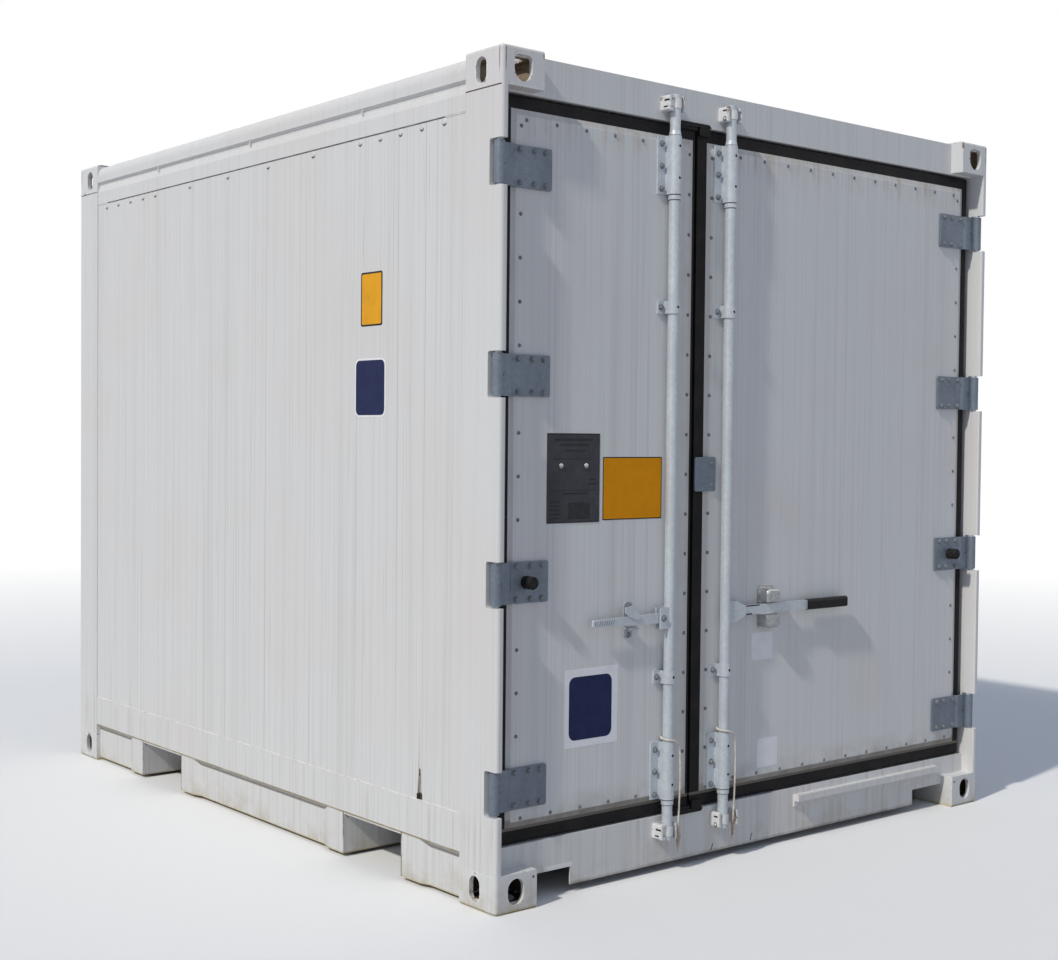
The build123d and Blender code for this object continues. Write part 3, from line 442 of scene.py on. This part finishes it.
def revolve(shape, profile, matrix, sides=16):
    rings = []
    for radius, height in profile:
        if radius == 0:
            rings.append([shape.verts.new(matrix @ Vector((0, 0, height)))])
            continue
        ring = []
        for step in range(sides):
            angle = 2 * math.pi * step / sides
            point = Vector((radius * math.cos(angle), radius * math.sin(angle), height))
            ring.append(shape.verts.new(matrix @ point))
        rings.append(ring)
    for low, high in zip(rings, rings[1:]):
        for step in range(sides):
            after = (step + 1) % sides
            corners = [low[step % len(low)], low[after % len(low)],
                       high[after % len(high)], high[step % len(high)]]
            corners = list(dict.fromkeys(corners))
            if len(corners) > 2:
                shape.faces.new(corners)
    for ring in (rings[0], rings[-1]):
        if len(ring) > 1:
            shape.faces.new(ring)


def rivet(shape, place, direction, radius, height):
    profile = [(radius, -0.0025), (radius, 0.0002), (radius * 0.9, height * 0.45),
               (radius * 0.62, height * 0.84), (radius * 0.3, height * 0.97), (0, height)]
    revolve(shape, profile, aim(place, direction), 14)


def boltHead(shape, place, direction, radius, height, spin=0.0):
    washer = [(radius * 1.35, -0.0012), (radius * 1.35, 0.0012), (radius * 1.25, 0.0018), (0, 0.0018)]
    revolve(shape, washer, aim(place, direction), 20)
    head = [(radius, 0.0012), (radius, height * 0.82), (radius * 0.84, height), (0, height)]
    revolve(shape, head, aim(place, direction, spin), 6)


def plate(shape, centre, across, up, wide, tall, thick, radius, steps=5):
    # rounded plate lying on the face at its centre
    ahead = across.cross(up)
    outline = []
    for cornerX, cornerZ, start in ((1, 1, 0), (-1, 1, 90), (-1, -1, 180), (1, -1, 270)):
        for step in range(steps + 1):
            angle = math.radians(start + 90 * step / steps)
            u = cornerX * (wide / 2 - radius) + radius * math.cos(angle)
            v = cornerZ * (tall / 2 - radius) + radius * math.sin(angle)
            outline.append((u, v))
    rings = []
    for height, shrink in ((-thick, 1.0), (thick * 0.6, 1.0), (thick, 1 - 0.6 * thick / max(wide, tall))):
        rings.append([shape.verts.new(centre + across * u * shrink + up * v * shrink + ahead * height)
                      for u, v in outline])
    count = len(outline)
    for low, high in zip(rings, rings[1:]):
        for step in range(count):
            after = (step + 1) % count
            shape.faces.new([low[step], low[after], high[after], high[step]])
    shape.faces.new(rings[0])
    shape.faces.new(rings[-1])


def tube(shape, points, radii, sides=8, phase=0.0):
    # round tube through points, its ring carried along without twisting
    tangent = (points[1] - points[0]).normalized()
    reach = tangent.orthogonal().normalized()
    rings = []
    for index, point in enumerate(points):
        before = points[max(index - 1, 0)]
        after = points[min(index + 1, len(points) - 1)]
        heading = (after - before).normalized()
        reach = (reach - heading * reach.dot(heading)).normalized()
        lift = heading.cross(reach)
        ring = []
        for step in range(sides):
            angle = phase + 2 * math.pi * step / sides
            side = reach * math.cos(angle) + lift * math.sin(angle)
            ring.append(shape.verts.new(point + side * radii[index]))
        rings.append(ring)
    for low, high in zip(rings, rings[1:]):
        for step in range(sides):
            after = (step + 1) % sides
            shape.faces.new([low[step], low[after], high[after], high[step]])
    shape.faces.new(rings[0])
    shape.faces.new(rings[-1])


# tie-back ropes on the low bearings
rope = {"radius": 0.00375, "strandShare": 0.5, "lay": 0.024, "frayUp": 0.046, "frayDown": 0.044, "bulge": 0.013,
        "fibres": 22, "fibreRadius": 0.0013, "fibreSteps": 9, "startZ": 0.4399,
        # millimetres from the rod's axis at the start's height
        "route": ((-9.4, 22.6, 10.0), (-22.6, 9.4, 9.0), (-22.6, -9.4, 7.0), (-9.4, -22.6, 4.0),
                  (9.4, -22.6, 0.8), (28.0, -19.0, -9.0), (38.5, -17.0, -32.0), (43.0, -15.0, -75.0),
                  (44.0, -14.5, -135.0), (42.5, -13.5, -200.0), (41.5, -12.0, -267.0), (40.0, -9.0, -332.0)),
        "long": 0.42}


def ropeLine(name, start):
    curve = bpy.data.curves.new(name, "CURVE")
    curve.dimensions = "3D"
    curve.resolution_u = 18
    spline = curve.splines.new("NURBS")
    spline.points.add(len(rope["route"]) - 1)
    for point, (x, y, z) in zip(spline.points, rope["route"]):
        point.co = (start[0] + x / 1000, start[1] + y / 1000, start[2] + z / 1000, 1)
    spline.order_u = 3
    spline.use_endpoint_u = True
    holder = bpy.data.objects.new(name, curve)
    bpy.context.collection.objects.link(holder)
    bpy.context.view_layer.update()
    mesh = bpy.data.meshes.new_from_object(holder.evaluated_get(bpy.context.evaluated_depsgraph_get()))
    points = [vertex.co.copy() for vertex in mesh.vertices]
    bpy.data.objects.remove(holder)
    bpy.data.meshes.remove(mesh)
    return points


def makeRope(name, node, body, rodX):
    points = ropeLine(name + "Line", (rodX, rodY, rope["startZ"]))
    shape = bmesh.new()
    radius = rope["radius"]
    strand = radius * rope["strandShare"]
    offset = radius - strand
    for turn in range(3):
        travelled = 0.0
        reach = (points[1] - points[0]).normalized().orthogonal().normalized()
        path = []
        for index, point in enumerate(points):
            before = points[max(index - 1, 0)]
            after = points[min(index + 1, len(points) - 1)]
            heading = (after - before).normalized()
            reach = (reach - heading * reach.dot(heading)).normalized()
            lift = heading.cross(reach)
            if index:
                travelled += (point - points[index - 1]).length
            angle = 2 * math.pi * (travelled / rope["lay"] + turn / 3)
            path.append(point + (reach * math.cos(angle) + lift * math.sin(angle)) * offset)
        tube(shape, path, [strand] * len(path), 7)
    piece = addPiece(name, shape, ropeFibre, body, angle=80)
    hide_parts(node)
    # frayed fibres at the loose end
    draw = random.Random(name)
    shape = bmesh.new()
    end = points[-1]
    for fibre in range(rope["fibres"]):
        lean = draw.uniform(0, 2 * math.pi)
        spread = draw.uniform(0.25, 1.0) * rope["bulge"]
        low = rope["frayDown"] * draw.uniform(0.3, 1.0)
        path = []
        radii = []
        for step in range(rope["fibreSteps"] + 1):
            share = step / rope["fibreSteps"]
            turn = lean + 2.6 * share
            out = radius + spread * math.sin(math.pi * share) ** 0.8
            side = Vector((0.35 + 0.65 * math.cos(turn), 0.6 * math.sin(turn), 0)) * out
            fall = Vector((0, 0, rope["frayUp"] - (rope["frayUp"] + low) * share))
            path.append(end + side * (1 - 0.55 * share) + fall)
            radii.append(rope["fibreRadius"] * (1 - 0.5 * step / rope["fibreSteps"]))
        tube(shape, path, radii, 5)
    fray = addPiece(name + "Fray", shape, frayedFibre, body, angle=80)
    long = sum((b - a).length for a, b in zip(points, points[1:]))
    print(name, "is", round(long, 4), "m long")


makeRope("leftRope", "left_rope", "left_door", rodAt["left"])
makeRope("rightRope", "right_rope", "right_door", rodAt["right"])
print("ropes made")


# rivets round each leaf
leafRivets = {"radius": 0.0064, "height": 0.0032, "pitchUp": 0.1322, "pitchAcross": 0.1212, "top": 2.371,
              "countUp": 16, "rowLow": 0.267, "rowHigh": 2.390, "hinges": (0.362, 0.99067, 1.61933, 2.248),
              "hingeHalf": 0.080, "bearingLeft": 0.062, "bearingRight": 0.030,
              "left": {"columns": (-1.101, -0.3825), "hinged": -1.101, "firstAcross": -1.081, "countAcross": 6},
              "right": {"columns": (-0.275, 1.101), "hinged": 1.101, "firstAcross": -0.2585, "countAcross": 12}}


def rivetLeaf(sideName):
    s = leafRivets[sideName]
    places = []
    for x in s["columns"]:
        for step in range(leafRivets["countUp"]):
            z = leafRivets["top"] - leafRivets["pitchUp"] * step
            behind = any(abs(z - hinge) < leafRivets["hingeHalf"] for hinge in leafRivets["hinges"])
            if not (x == s["hinged"] and behind):
                places.append((x, z))
    for z in (leafRivets["rowLow"], leafRivets["rowHigh"]):
        for step in range(s["countAcross"]):
            x = s["firstAcross"] + leafRivets["pitchAcross"] * step
            if not -leafRivets["bearingLeft"] < x - rodAt[sideName] < leafRivets["bearingRight"]:
                places.append((x, z))
    shape = bmesh.new()
    for x, z in places:
        rivet(shape, Vector((x, doorFace, z)), outward["front"], leafRivets["radius"], leafRivets["height"])
    addPiece(sideName + "LeafRivets", shape, rivetGrey, sideName + "_door")


rivetLeaf("left")
rivetLeaf("right")

# bolts of the hinges, bearings, clamps, catches and overlap plate
hingeBolts = {"x": (1.1125, 1.056, 1.011), "rise": 0.050, "radius": 0.0072, "height": 0.0075, "face": -1.4495,
              "greaseX": 1.174, "greaseRadius": 0.0033, "greaseFace": -1.455}
gearBolts = {"radius": 0.0078, "height": 0.0092, "face": -1.4475, "low": (0.261, 0.337, 0.410),
             "high": (2.244, 2.318, 2.390), "clamps": (0.650, 1.860), "fromRod": 0.0385, "clampFromRod": 0.035,
             "drains": (0.296, 0.392, 2.279, 2.382), "drainTurn": 0.09, "drainOut": 0.0218, "drainRadius": 0.0046}
for sideName, sign in (("left", -1), ("right", 1)):
    rodX = rodAt[sideName]
    shape = bmesh.new()
    dots = bmesh.new()
    spin = 0.0
    for hinge in leafRivets["hinges"]:
        for x in hingeBolts["x"]:
            for rise in (-1, 1):
                spin += 0.7
                place = Vector((sign * x, hingeBolts["face"], hinge + rise * hingeBolts["rise"]))
                boltHead(shape, place, outward["front"], hingeBolts["radius"], hingeBolts["height"], spin)
        # painted shade: a dark disc for each grease hole
        hole = Vector((sign * hingeBolts["greaseX"], hingeBolts["greaseFace"], hinge))
        radius = hingeBolts["greaseRadius"]
        revolve(dots, [(radius, -0.004), (radius, 0.0004), (0, 0.0004)], aim(hole, outward["front"]), 12)
    for z in gearBolts["low"] + gearBolts["high"]:
        spin += 0.5
        place = Vector((rodX - gearBolts["fromRod"], gearBolts["face"], z))
        boltHead(shape, place, outward["front"], gearBolts["radius"], gearBolts["height"], spin)
    for z in gearBolts["clamps"]:
        place = Vector((rodX - gearBolts["clampFromRod"], gearBolts["face"], z))
        boltHead(shape, place, outward["front"], gearBolts["radius"], gearBolts["height"], 0.4)
    # painted shade: dark discs for the small drain holes on the right of each shell
    lean = Vector((math.sin(gearBolts["drainTurn"]), -math.cos(gearBolts["drainTurn"]), 0))
    radius = gearBolts["drainRadius"]
    for z in gearBolts["drains"] + gearBolts["clamps"]:
        hole = Vector((rodX, rodY, z)) + lean * gearBolts["drainOut"]
        revolve(dots, [(radius, -0.002), (radius, 0.0004), (0, 0.0004)], aim(hole, lean), 14)
    addPiece(sideName + "DoorBolts", shape, boltZinc, sideName + "_door", angle=30)
    addPiece(sideName + "GearHoleShade", dots, recessShade, sideName + "_door", angle=30)

smallBolts = [
    # name, body, x, y, heights, radius, height of the head, spin
    ("leftCatchBolts", "left_door", -0.643, doorFace - 0.006, (0.798, 0.894), 0.0068, 0.0075, 0.3),
    ("overlapBolts", "right_door", -0.268, doorFace - 0.006, (1.277, 1.350), 0.0055, 0.005, 0.2),
    ("pivotBolt", "left_rod", -0.515, rodY - 0.0125, (handleZ,), 0.0085, 0.008, 0.25),
]
for name, body, x, y, heights, radius, high, spin in smallBolts:
    shape = bmesh.new()
    for z in heights:
        boltHead(shape, Vector((x, y, z)), outward["front"], radius, high, spin)
    addPiece(name, shape, boltZinc, body, angle=30)

# pale ring at the root of the right grip
gripRing = {"x": 0.209, "wide": 0.0185, "tall": 0.0365, "thick": 0.0016, "corner": 0.0065}
shape = bmesh.new()
plate(shape, Vector((gripRing["x"], rodY, handleZ)), outward["back"], upward, gripRing["wide"], gripRing["tall"],
      gripRing["thick"], gripRing["corner"])
addPiece("gripRing", shape, labelWhite, "right_rod", angle=40)

# painted shadow: dark plates along the right bar beside its hub, and painted shade of the gaps round each rod
# under its bearings
barGapShade = ((-0.085, 0.8602, 0.078, 0.0042), (-0.100, 0.8318, 0.034, 0.0042))
shape = bmesh.new()
for x, z, wide, tall in barGapShade:
    plate(shape, Vector((x, barFace, z)), outward["right"], upward, wide, tall, 0.0003, 0.0018, 3)
addPiece("barGapShade", shape, recessShade, "right_rod", smooth=False)
rodGapShade = {"bearingLow": (0.246, 2.226), "gap": 0.003, "collar": 0.014, "radius": 0.0203, "underRadius": 0.0192,
           "underThick": 0.0016}
for sideName, rodX in rodAt.items():
    shape = bmesh.new()
    for low in rodGapShade["bearingLow"]:
        for top, thick, radius in ((low - 0.0003, rodGapShade["gap"] - 0.0006, rodGapShade["radius"]),
                                   (low - rodGapShade["gap"] - rodGapShade["collar"], rodGapShade["underThick"],
                                    rodGapShade["underRadius"])):
            ring = [(radius, -thick), (radius, 0.0)]
            revolve(shape, ring, aim(Vector((rodX, rodY, top)), upward), 28)
    addPiece(sideName + "RodGapShade", shape, recessShade, sideName + "_rod", angle=40)

# rubber lips of the left leaf behind the flaps at head and foot
sealLips = {"from": -0.4255, "to": -0.3435, "face": -1.4365, "deep": 0.0056, "tall": 0.0135,
            "heights": (0.1935, 2.4605)}
shape = bmesh.new()
for z in sealLips["heights"]:
    middle = Vector(((sealLips["from"] + sealLips["to"]) / 2, sealLips["face"], z))
    plate(shape, middle, outward["right"], upward, sealLips["to"] - sealLips["from"], sealLips["tall"],
          sealLips["deep"], 0.003, 3)
addPiece("leftSealLips", shape, sealRubber, "left_door", angle=40)

# slanted grooves stamped near the tip of the left bar
barGrooves = {"count": 9, "from": -0.808, "pitch": 0.0098, "lean": 0.32, "wide": 0.0028, "tall": 0.0165}
shape = bmesh.new()
lean = Vector((barGrooves["lean"], 0, 1)).normalized()
for step in range(barGrooves["count"]):
    middle = Vector((barGrooves["from"] + barGrooves["pitch"] * step, barFace, handleZ))
    plate(shape, middle, outward["back"].cross(lean) * -1, lean * -1, barGrooves["wide"], barGrooves["tall"],
          0.0003, 0.001, 2)
addPiece("barGrooves", shape, boltZinc, "left_handle", smooth=False)
print("bolts and rivets made")

# side trim: lap line, rivets, clips and weld bead, alike on both sides
sideTrim = {"lap": 2.4185, "lapTall": 0.0036, "lapFrom": -1.208, "lapTo": 1.224, "rivetZ": 2.4035,
            "rivetAt": (-1.204, -1.085, -0.968, -0.853, -0.734, -0.440, -0.132, 0.167, 0.472, 0.773, 0.885,
                        1.002, 1.118, 1.231), "rivetRadius": 0.0105, "rivetHigh": 0.0022, "crescent": 0.0112,
            "clipZ": 2.501, "clipAt": (-0.746, 0.0, 0.746), "clipX": 1.2045, "clipOut": 0.0112, "clipUp": 0.0135,
            "clipRadius": 0.0024, "weldZ": 0.2765, "weldRadius": 0.0034, "lapBead": 0.0016, "lapDrop": 0.002,
            "from": -1.316, "to": 1.316}


def weldBead(shape, start, end, radius, seed):
    draw = random.Random(seed)
    long = (end - start).length
    count = int(long / 0.006)
    points = []
    radii = []
    for step in range(count + 1):
        points.append(start.lerp(end, step / count) + Vector((0, 0, draw.uniform(-0.0006, 0.0006))))
        radii.append(radius * (1 + 0.14 * math.sin(step * 2.1) + draw.uniform(-0.1, 0.1)))
    tube(shape, points, radii, 6)


for sideName, sign in (("left", -1), ("right", 1)):
    away = outward[sideName]
    wallX = -sign * sideFace
    shape = bmesh.new()
    lapZ = sideTrim["lap"] - sideTrim["lapTall"] / 2
    centre = Vector((wallX, (sideTrim["lapFrom"] + sideTrim["lapTo"]) / 2, lapZ))
    plate(shape, centre, Vector((0, sign, 0)), upward, sideTrim["lapTo"] - sideTrim["lapFrom"],
          sideTrim["lapTall"], 0.0009, 0.0008, 1)
    addPiece(sideName + "LapLine", shape, sealantAndShadow, "container", smooth=False)
    # big low rivet heads, each with a painted shadow under it: a dark crescent tube
    shape = bmesh.new()
    crescentShadow = bmesh.new()
    for y in sideTrim["rivetAt"]:
        middle = Vector((wallX, y, sideTrim["rivetZ"]))
        rivet(shape, middle, away, sideTrim["rivetRadius"], sideTrim["rivetHigh"])
        arc = []
        radii = []
        for step in range(11):
            angle = math.radians(205 + 13 * step)
            arc.append(middle + Vector((0, math.cos(angle), math.sin(angle))) * sideTrim["crescent"])
            radii.append(0.0008 + 0.0019 * math.sin(math.pi * step / 10))
        tube(crescentShadow, arc, radii, 6)
    addPiece(sideName + "LapRivets", shape, wallPaint, "container")
    addPiece(sideName + "RivetShadow", crescentShadow, sealantAndShadow, "container", angle=80)
    shape = bmesh.new()
    beadZ = lapZ - sideTrim["lapDrop"]
    for start, end, z, radius in ((sideTrim["from"], sideTrim["lapFrom"], beadZ, sideTrim["lapBead"]),
                                  (sideTrim["lapTo"], sideTrim["to"], beadZ, sideTrim["lapBead"]),
                                  (sideTrim["from"], sideTrim["to"], sideTrim["weldZ"], sideTrim["weldRadius"])):
        weldBead(shape, Vector((wallX, start, z)), Vector((wallX, end, z)), radius, sideName)
    addPiece(sideName + "WeldBead", shape, weldPaint, "container", angle=80)
    shape = bmesh.new()
    for y in sideTrim["clipAt"]:
        hoop = []
        for step in range(9):
            angle = math.radians(-80 + 160 * step / 8)
            hoop.append(Vector((sign * (sideTrim["clipX"] + sideTrim["clipOut"] * math.cos(angle)), y,
                                sideTrim["clipZ"] + sideTrim["clipUp"] * math.sin(angle))))
        tube(shape, hoop, [sideTrim["clipRadius"]] * len(hoop), 8)
    addPiece(sideName + "RailClips", shape, framePaint, "container", angle=80)
print("side trim made")


# weld beads where the castings meet posts and rails
castJoints = {"heights": (0.118, 2.473), "radius": 0.00112, "sideX": 1.2174, "sideY": (1.485, 1.3185),
              "endX": (1.209, 1.194), "endY": 1.4938}
shape = bmesh.new()
for z in castJoints["heights"]:
    for sx in (-1, 1):
        for sy in (-1, 1):
            start, end = [Vector((sx * castJoints["sideX"], sy * y, z)) for y in castJoints["sideY"]]
            weldBead(shape, start, end, castJoints["radius"], "side%s%s%s" % (z, sx, sy))
            start, end = [Vector((sx * x, sy * castJoints["endY"], z)) for x in castJoints["endX"]]
            weldBead(shape, start, end, castJoints["radius"], "end%s%s%s" % (z, sx, sy))
addPiece("castingWelds", shape, weldPaint, "container", angle=80)

# painted shade: dark plates for the slots and gaps on the cheek of each keeper, and a dark ring round the round
# stud on the right ones
keepers = {"cheeks": {"left": -0.520, "right": -0.2485}, "heights": (0.141, 2.519), "studY": -1.470,
           "studDrop": 0.015, "slotY": -1.471, "slotRise": 0.012, "ringRadius": 0.0078, "studRadius": 0.0052,
           "slotWide": 0.018, "slotTall": 0.0055,
           "hooks": ((-1.4715, 0.0085, 0.024, 0.006), (-1.466, -0.0125, 0.019, 0.005))}
shape = bmesh.new()
studs = bmesh.new()
for rodName, cheekX in keepers["cheeks"].items():
    for middle in keepers["heights"]:
        if rodName == "left":
            for y, rise, wide, tall in keepers["hooks"]:
                plate(shape, Vector((cheekX, y, middle + rise)), outward["front"], upward, wide, tall,
                      0.0003, 0.0024, 3)
            continue
        stud = Vector((cheekX, keepers["studY"], middle - keepers["studDrop"]))
        ring = [(keepers["ringRadius"], -0.001), (keepers["ringRadius"], 0.0003), (0, 0.0003)]
        revolve(shape, ring, aim(stud, outward["left"]), 18)
        rivet(studs, stud, outward["left"], keepers["studRadius"], 0.0028)
        slot = Vector((cheekX, keepers["slotY"], middle + keepers["slotRise"]))
        plate(shape, slot, outward["front"], upward, keepers["slotWide"], keepers["slotTall"], 0.0003, 0.0025, 3)
addPiece("keeperSlotShade", shape, recessShade, "container", smooth=False)
addPiece("keeperStuds", studs, weldPaint, "container")
print("casting joints made")


# blank plates and labels
plates = [
    # name, body, face, centre along, z0, z1, width, thickness, corner, finish, standing off the face
    ("greyPlate", "left_door", "front", -0.8785, 1.166, 1.446, 0.219, 0.0012, 0.004, plateGrey, 0.0),
    ("yellowEdge", "left_door", "front", -0.625, 1.171, 1.372, 0.260, 0.0006, 0.003, labelInk, 0.0),
    ("yellowPlate", "left_door", "front", -0.625, 1.1745, 1.3685, 0.253, 0.0004, 0.002, plateYellow, 0.0006),
    ("navyPatch", "left_door", "front", -0.7925, 0.457, 0.704, 0.225, 0.0004, 0.004, labelWhite, 0.0),
    ("navyLabel", "left_door", "front", -0.7975, 0.480, 0.680, 0.181, 0.0004, 0.024, labelNavy, 0.0004),
    ("stickerHigh", "right_door", "front", 0.005, 0.663, 0.759, 0.106, 0.0004, 0.002, labelWhite, 0.0),
    ("stickerLow", "right_door", "front", 0.039, 0.284, 0.385, 0.106, 0.0004, 0.002, labelWhite, 0.0),
    ("sideNavyPatch", "container", "left", -0.802, 1.494, 1.687, 0.180, 0.0004, 0.024, labelWhite, 0.0),
    ("sideNavyLabel", "container", "left", -0.802, 1.500, 1.681, 0.168, 0.0004, 0.020, labelNavy, 0.0004),
    ("amberEdge", "container", "left", -0.808, 1.793, 1.971, 0.126, 0.0004, 0.008, labelInk, 0.0),
    ("amberLabel", "container", "left", -0.808, 1.799, 1.965, 0.113, 0.0004, 0.005, labelAmber, 0.0004),
]
for name, body, face, along, z0, z1, wide, thick, corner, finish, off in plates:
    shape = bmesh.new()
    if face == "front":
        centre = Vector((along, doorFace - off, (z0 + z1) / 2))
        across = outward["right"]
    else:
        centre = Vector((sideFace - off, along, (z0 + z1) / 2))
        across = outward["front"]
    plate(shape, centre, across, upward, wide, z1 - z0, thick, corner)
    addPiece(name, shape, finish, body, smooth=False)

# dark bars and studs of the grey plate
greyFace = doorFace - 0.0012
plateBars = [
    # centre along, z, width, height
    (-0.8785, 1.4435, 0.219, 0.003), (-0.8785, 1.1685, 0.219, 0.003), (-0.8785, 1.268, 0.205, 0.002),
    (-0.880, 1.426, 0.160, 0.007), (-0.876, 1.410, 0.120, 0.006), (-0.874, 1.392, 0.090, 0.005),
    (-0.880, 1.366, 0.170, 0.002), (-0.872, 1.258, 0.100, 0.005), (-0.803, 1.302, 0.026, 0.006),
    (-0.803, 1.288, 0.030, 0.006), (-0.958, 1.233, 0.040, 0.006), (-0.958, 1.220, 0.038, 0.005),
    (-0.954, 1.207, 0.046, 0.005), (-0.954, 1.194, 0.048, 0.005), (-0.956, 1.182, 0.044, 0.004),
    (-0.855, 1.204, 0.090, 0.052),
]
shape = bmesh.new()
for along, z, wide, tall in plateBars:
    plate(shape, Vector((along, greyFace, z)), outward["right"], upward, wide, tall, 0.0003, 0.001, 2)
addPiece("greyPlateBars", shape, plateBar, "left_door", smooth=False)
shape = bmesh.new()
plateStuds = {"at": (-0.930, -0.826), "z": 1.345, "radius": 0.009, "height": 0.004}
for along in plateStuds["at"]:
    rivet(shape, Vector((along, greyFace, plateStuds["z"])), outward["front"], plateStuds["radius"],
          plateStuds["height"])
addPiece("greyPlateStuds", shape, brightCatch, "left_door")

# painted shade: dark plates for thin slits in the sill
sillSlitShade = {"ends": ((-0.230, 0.054, -0.240, 0.030), (-0.034, 0.059, -0.044, 0.034)), "wide": 0.0035}
shape = bmesh.new()
for x0, z0, x1, z1 in sillSlitShade["ends"]:
    run = Vector((x1 - x0, 0, z1 - z0))
    heading = run.normalized()
    middle = Vector(((x0 + x1) / 2, doorFace, (z0 + z1) / 2))
    plate(shape, middle, outward["back"].cross(heading) * -1, heading * -1, sillSlitShade["wide"], run.length,
          0.0003, 0.0012, 2)
addPiece("sillSlitShade", shape, recessShade, "container", smooth=False)
print("plates made")


# far end repeats the rivet rows
endRivets = {"face": 1.3925, "x": 1.10, "low": 0.225, "high": 2.435, "pitch": 0.1325, "radius": 0.0052,
             "height": 0.0026}
places = []
countUp = round((endRivets["high"] - endRivets["low"]) / endRivets["pitch"])
countAcross = round(2 * endRivets["x"] / endRivets["pitch"])
for step in range(countUp + 1):
    z = endRivets["low"] + (endRivets["high"] - endRivets["low"]) * step / countUp
    places += [(x, z) for x in (-endRivets["x"], endRivets["x"])]
for step in range(1, countAcross):
    x = -endRivets["x"] + 2 * endRivets["x"] * step / countAcross
    places += [(x, z) for z in (endRivets["low"], endRivets["high"])]
shape = bmesh.new()
for x, z in places:
    rivet(shape, Vector((x, endRivets["face"], z)), outward["back"], endRivets["radius"], endRivets["height"])
addPiece("farEndRivets", shape, rivetGrey, "container")
print("far end made")


# floor, light and background
studio = {"floor": rgb(0.55, 0.55, 0.55), "floorSeen": rgb(0.93, 0.93, 0.93), "sky": rgb(0.76, 0.89, 1.15),
          "skyStrength": 0.335, "sun": (1.0, 0.96, 0.87), "sunStrength": 2.12, "sunAngle": 2.5,
          "sunFrom": Vector((-0.77, -0.148, 0.72)), "floorSize": 60, "fadeFrom": 3.5, "fadeTo": 11.0}
shape = bmesh.new()
bmesh.ops.create_grid(shape, x_segments=1, y_segments=1, size=studio["floorSize"])
floorMesh = bpy.data.meshes.new("studioFloor")
shape.to_mesh(floorMesh)
shape.free()
studioFloor = bpy.data.objects.new("studioFloor", floorMesh)
bpy.context.collection.objects.link(studioFloor)
finish, tree, shader, coord = newFinish("studioFloor", Roughness=0.9)
distance = addNode(tree, "ShaderNodeVectorMath", {0: coord}, operation="LENGTH").outputs["Value"]
fade = ranged(tree, distance, studio["fadeFrom"], studio["fadeTo"])
camera = tree.nodes.new("ShaderNodeLightPath").outputs["Is Camera Ray"]
tree.links.new(blendColour(tree, camera, studio["floor"], studio["floorSeen"]), shader.inputs["Base Color"])
white = addNode(tree, "ShaderNodeEmission", {"Color": rgb(1, 1, 1), "Strength": 1.0})
mixed = addNode(tree, "ShaderNodeMixShader", {0: math2(tree, "MULTIPLY", fade, camera), 1: shader.outputs[0],
                                              2: white.outputs[0]})
tree.links.new(mixed.outputs[0], tree.nodes["Material Output"].inputs["Surface"])
floorMesh.materials.append(finish)

world = bpy.data.worlds.new("studioSky")
bpy.context.scene.world = world
world.use_nodes = True
tree = world.node_tree
sky = tree.nodes["Background"]
sky.inputs["Color"].default_value = studio["sky"]
sky.inputs["Strength"].default_value = studio["skyStrength"]
path = tree.nodes.new("ShaderNodeLightPath")
seen = math2(tree, "MAXIMUM", path.outputs["Is Camera Ray"], path.outputs["Is Glossy Ray"])
seen = math2(tree, "MAXIMUM", seen, path.outputs["Is Transmission Ray"])
backdrop = addNode(tree, "ShaderNodeBackground", {"Color": rgb(1, 1, 1), "Strength": 1.0})
both = addNode(tree, "ShaderNodeMixShader", {0: seen, 1: sky.outputs[0], 2: backdrop.outputs[0]})
tree.links.new(both.outputs[0], tree.nodes["World Output"].inputs["Surface"])

lamp = bpy.data.lights.new("softKey", "SUN")
lamp.energy = studio["sunStrength"]
lamp.color = studio["sun"]
lamp.angle = math.radians(studio["sunAngle"])
softKey = bpy.data.objects.new("softKey", lamp)
softKey.matrix_world = aim(studio["sunFrom"] * 10, studio["sunFrom"].normalized())
bpy.context.collection.objects.link(softKey)
bpy.context.scene.view_settings.view_transform = "Standard"
print("studio made")
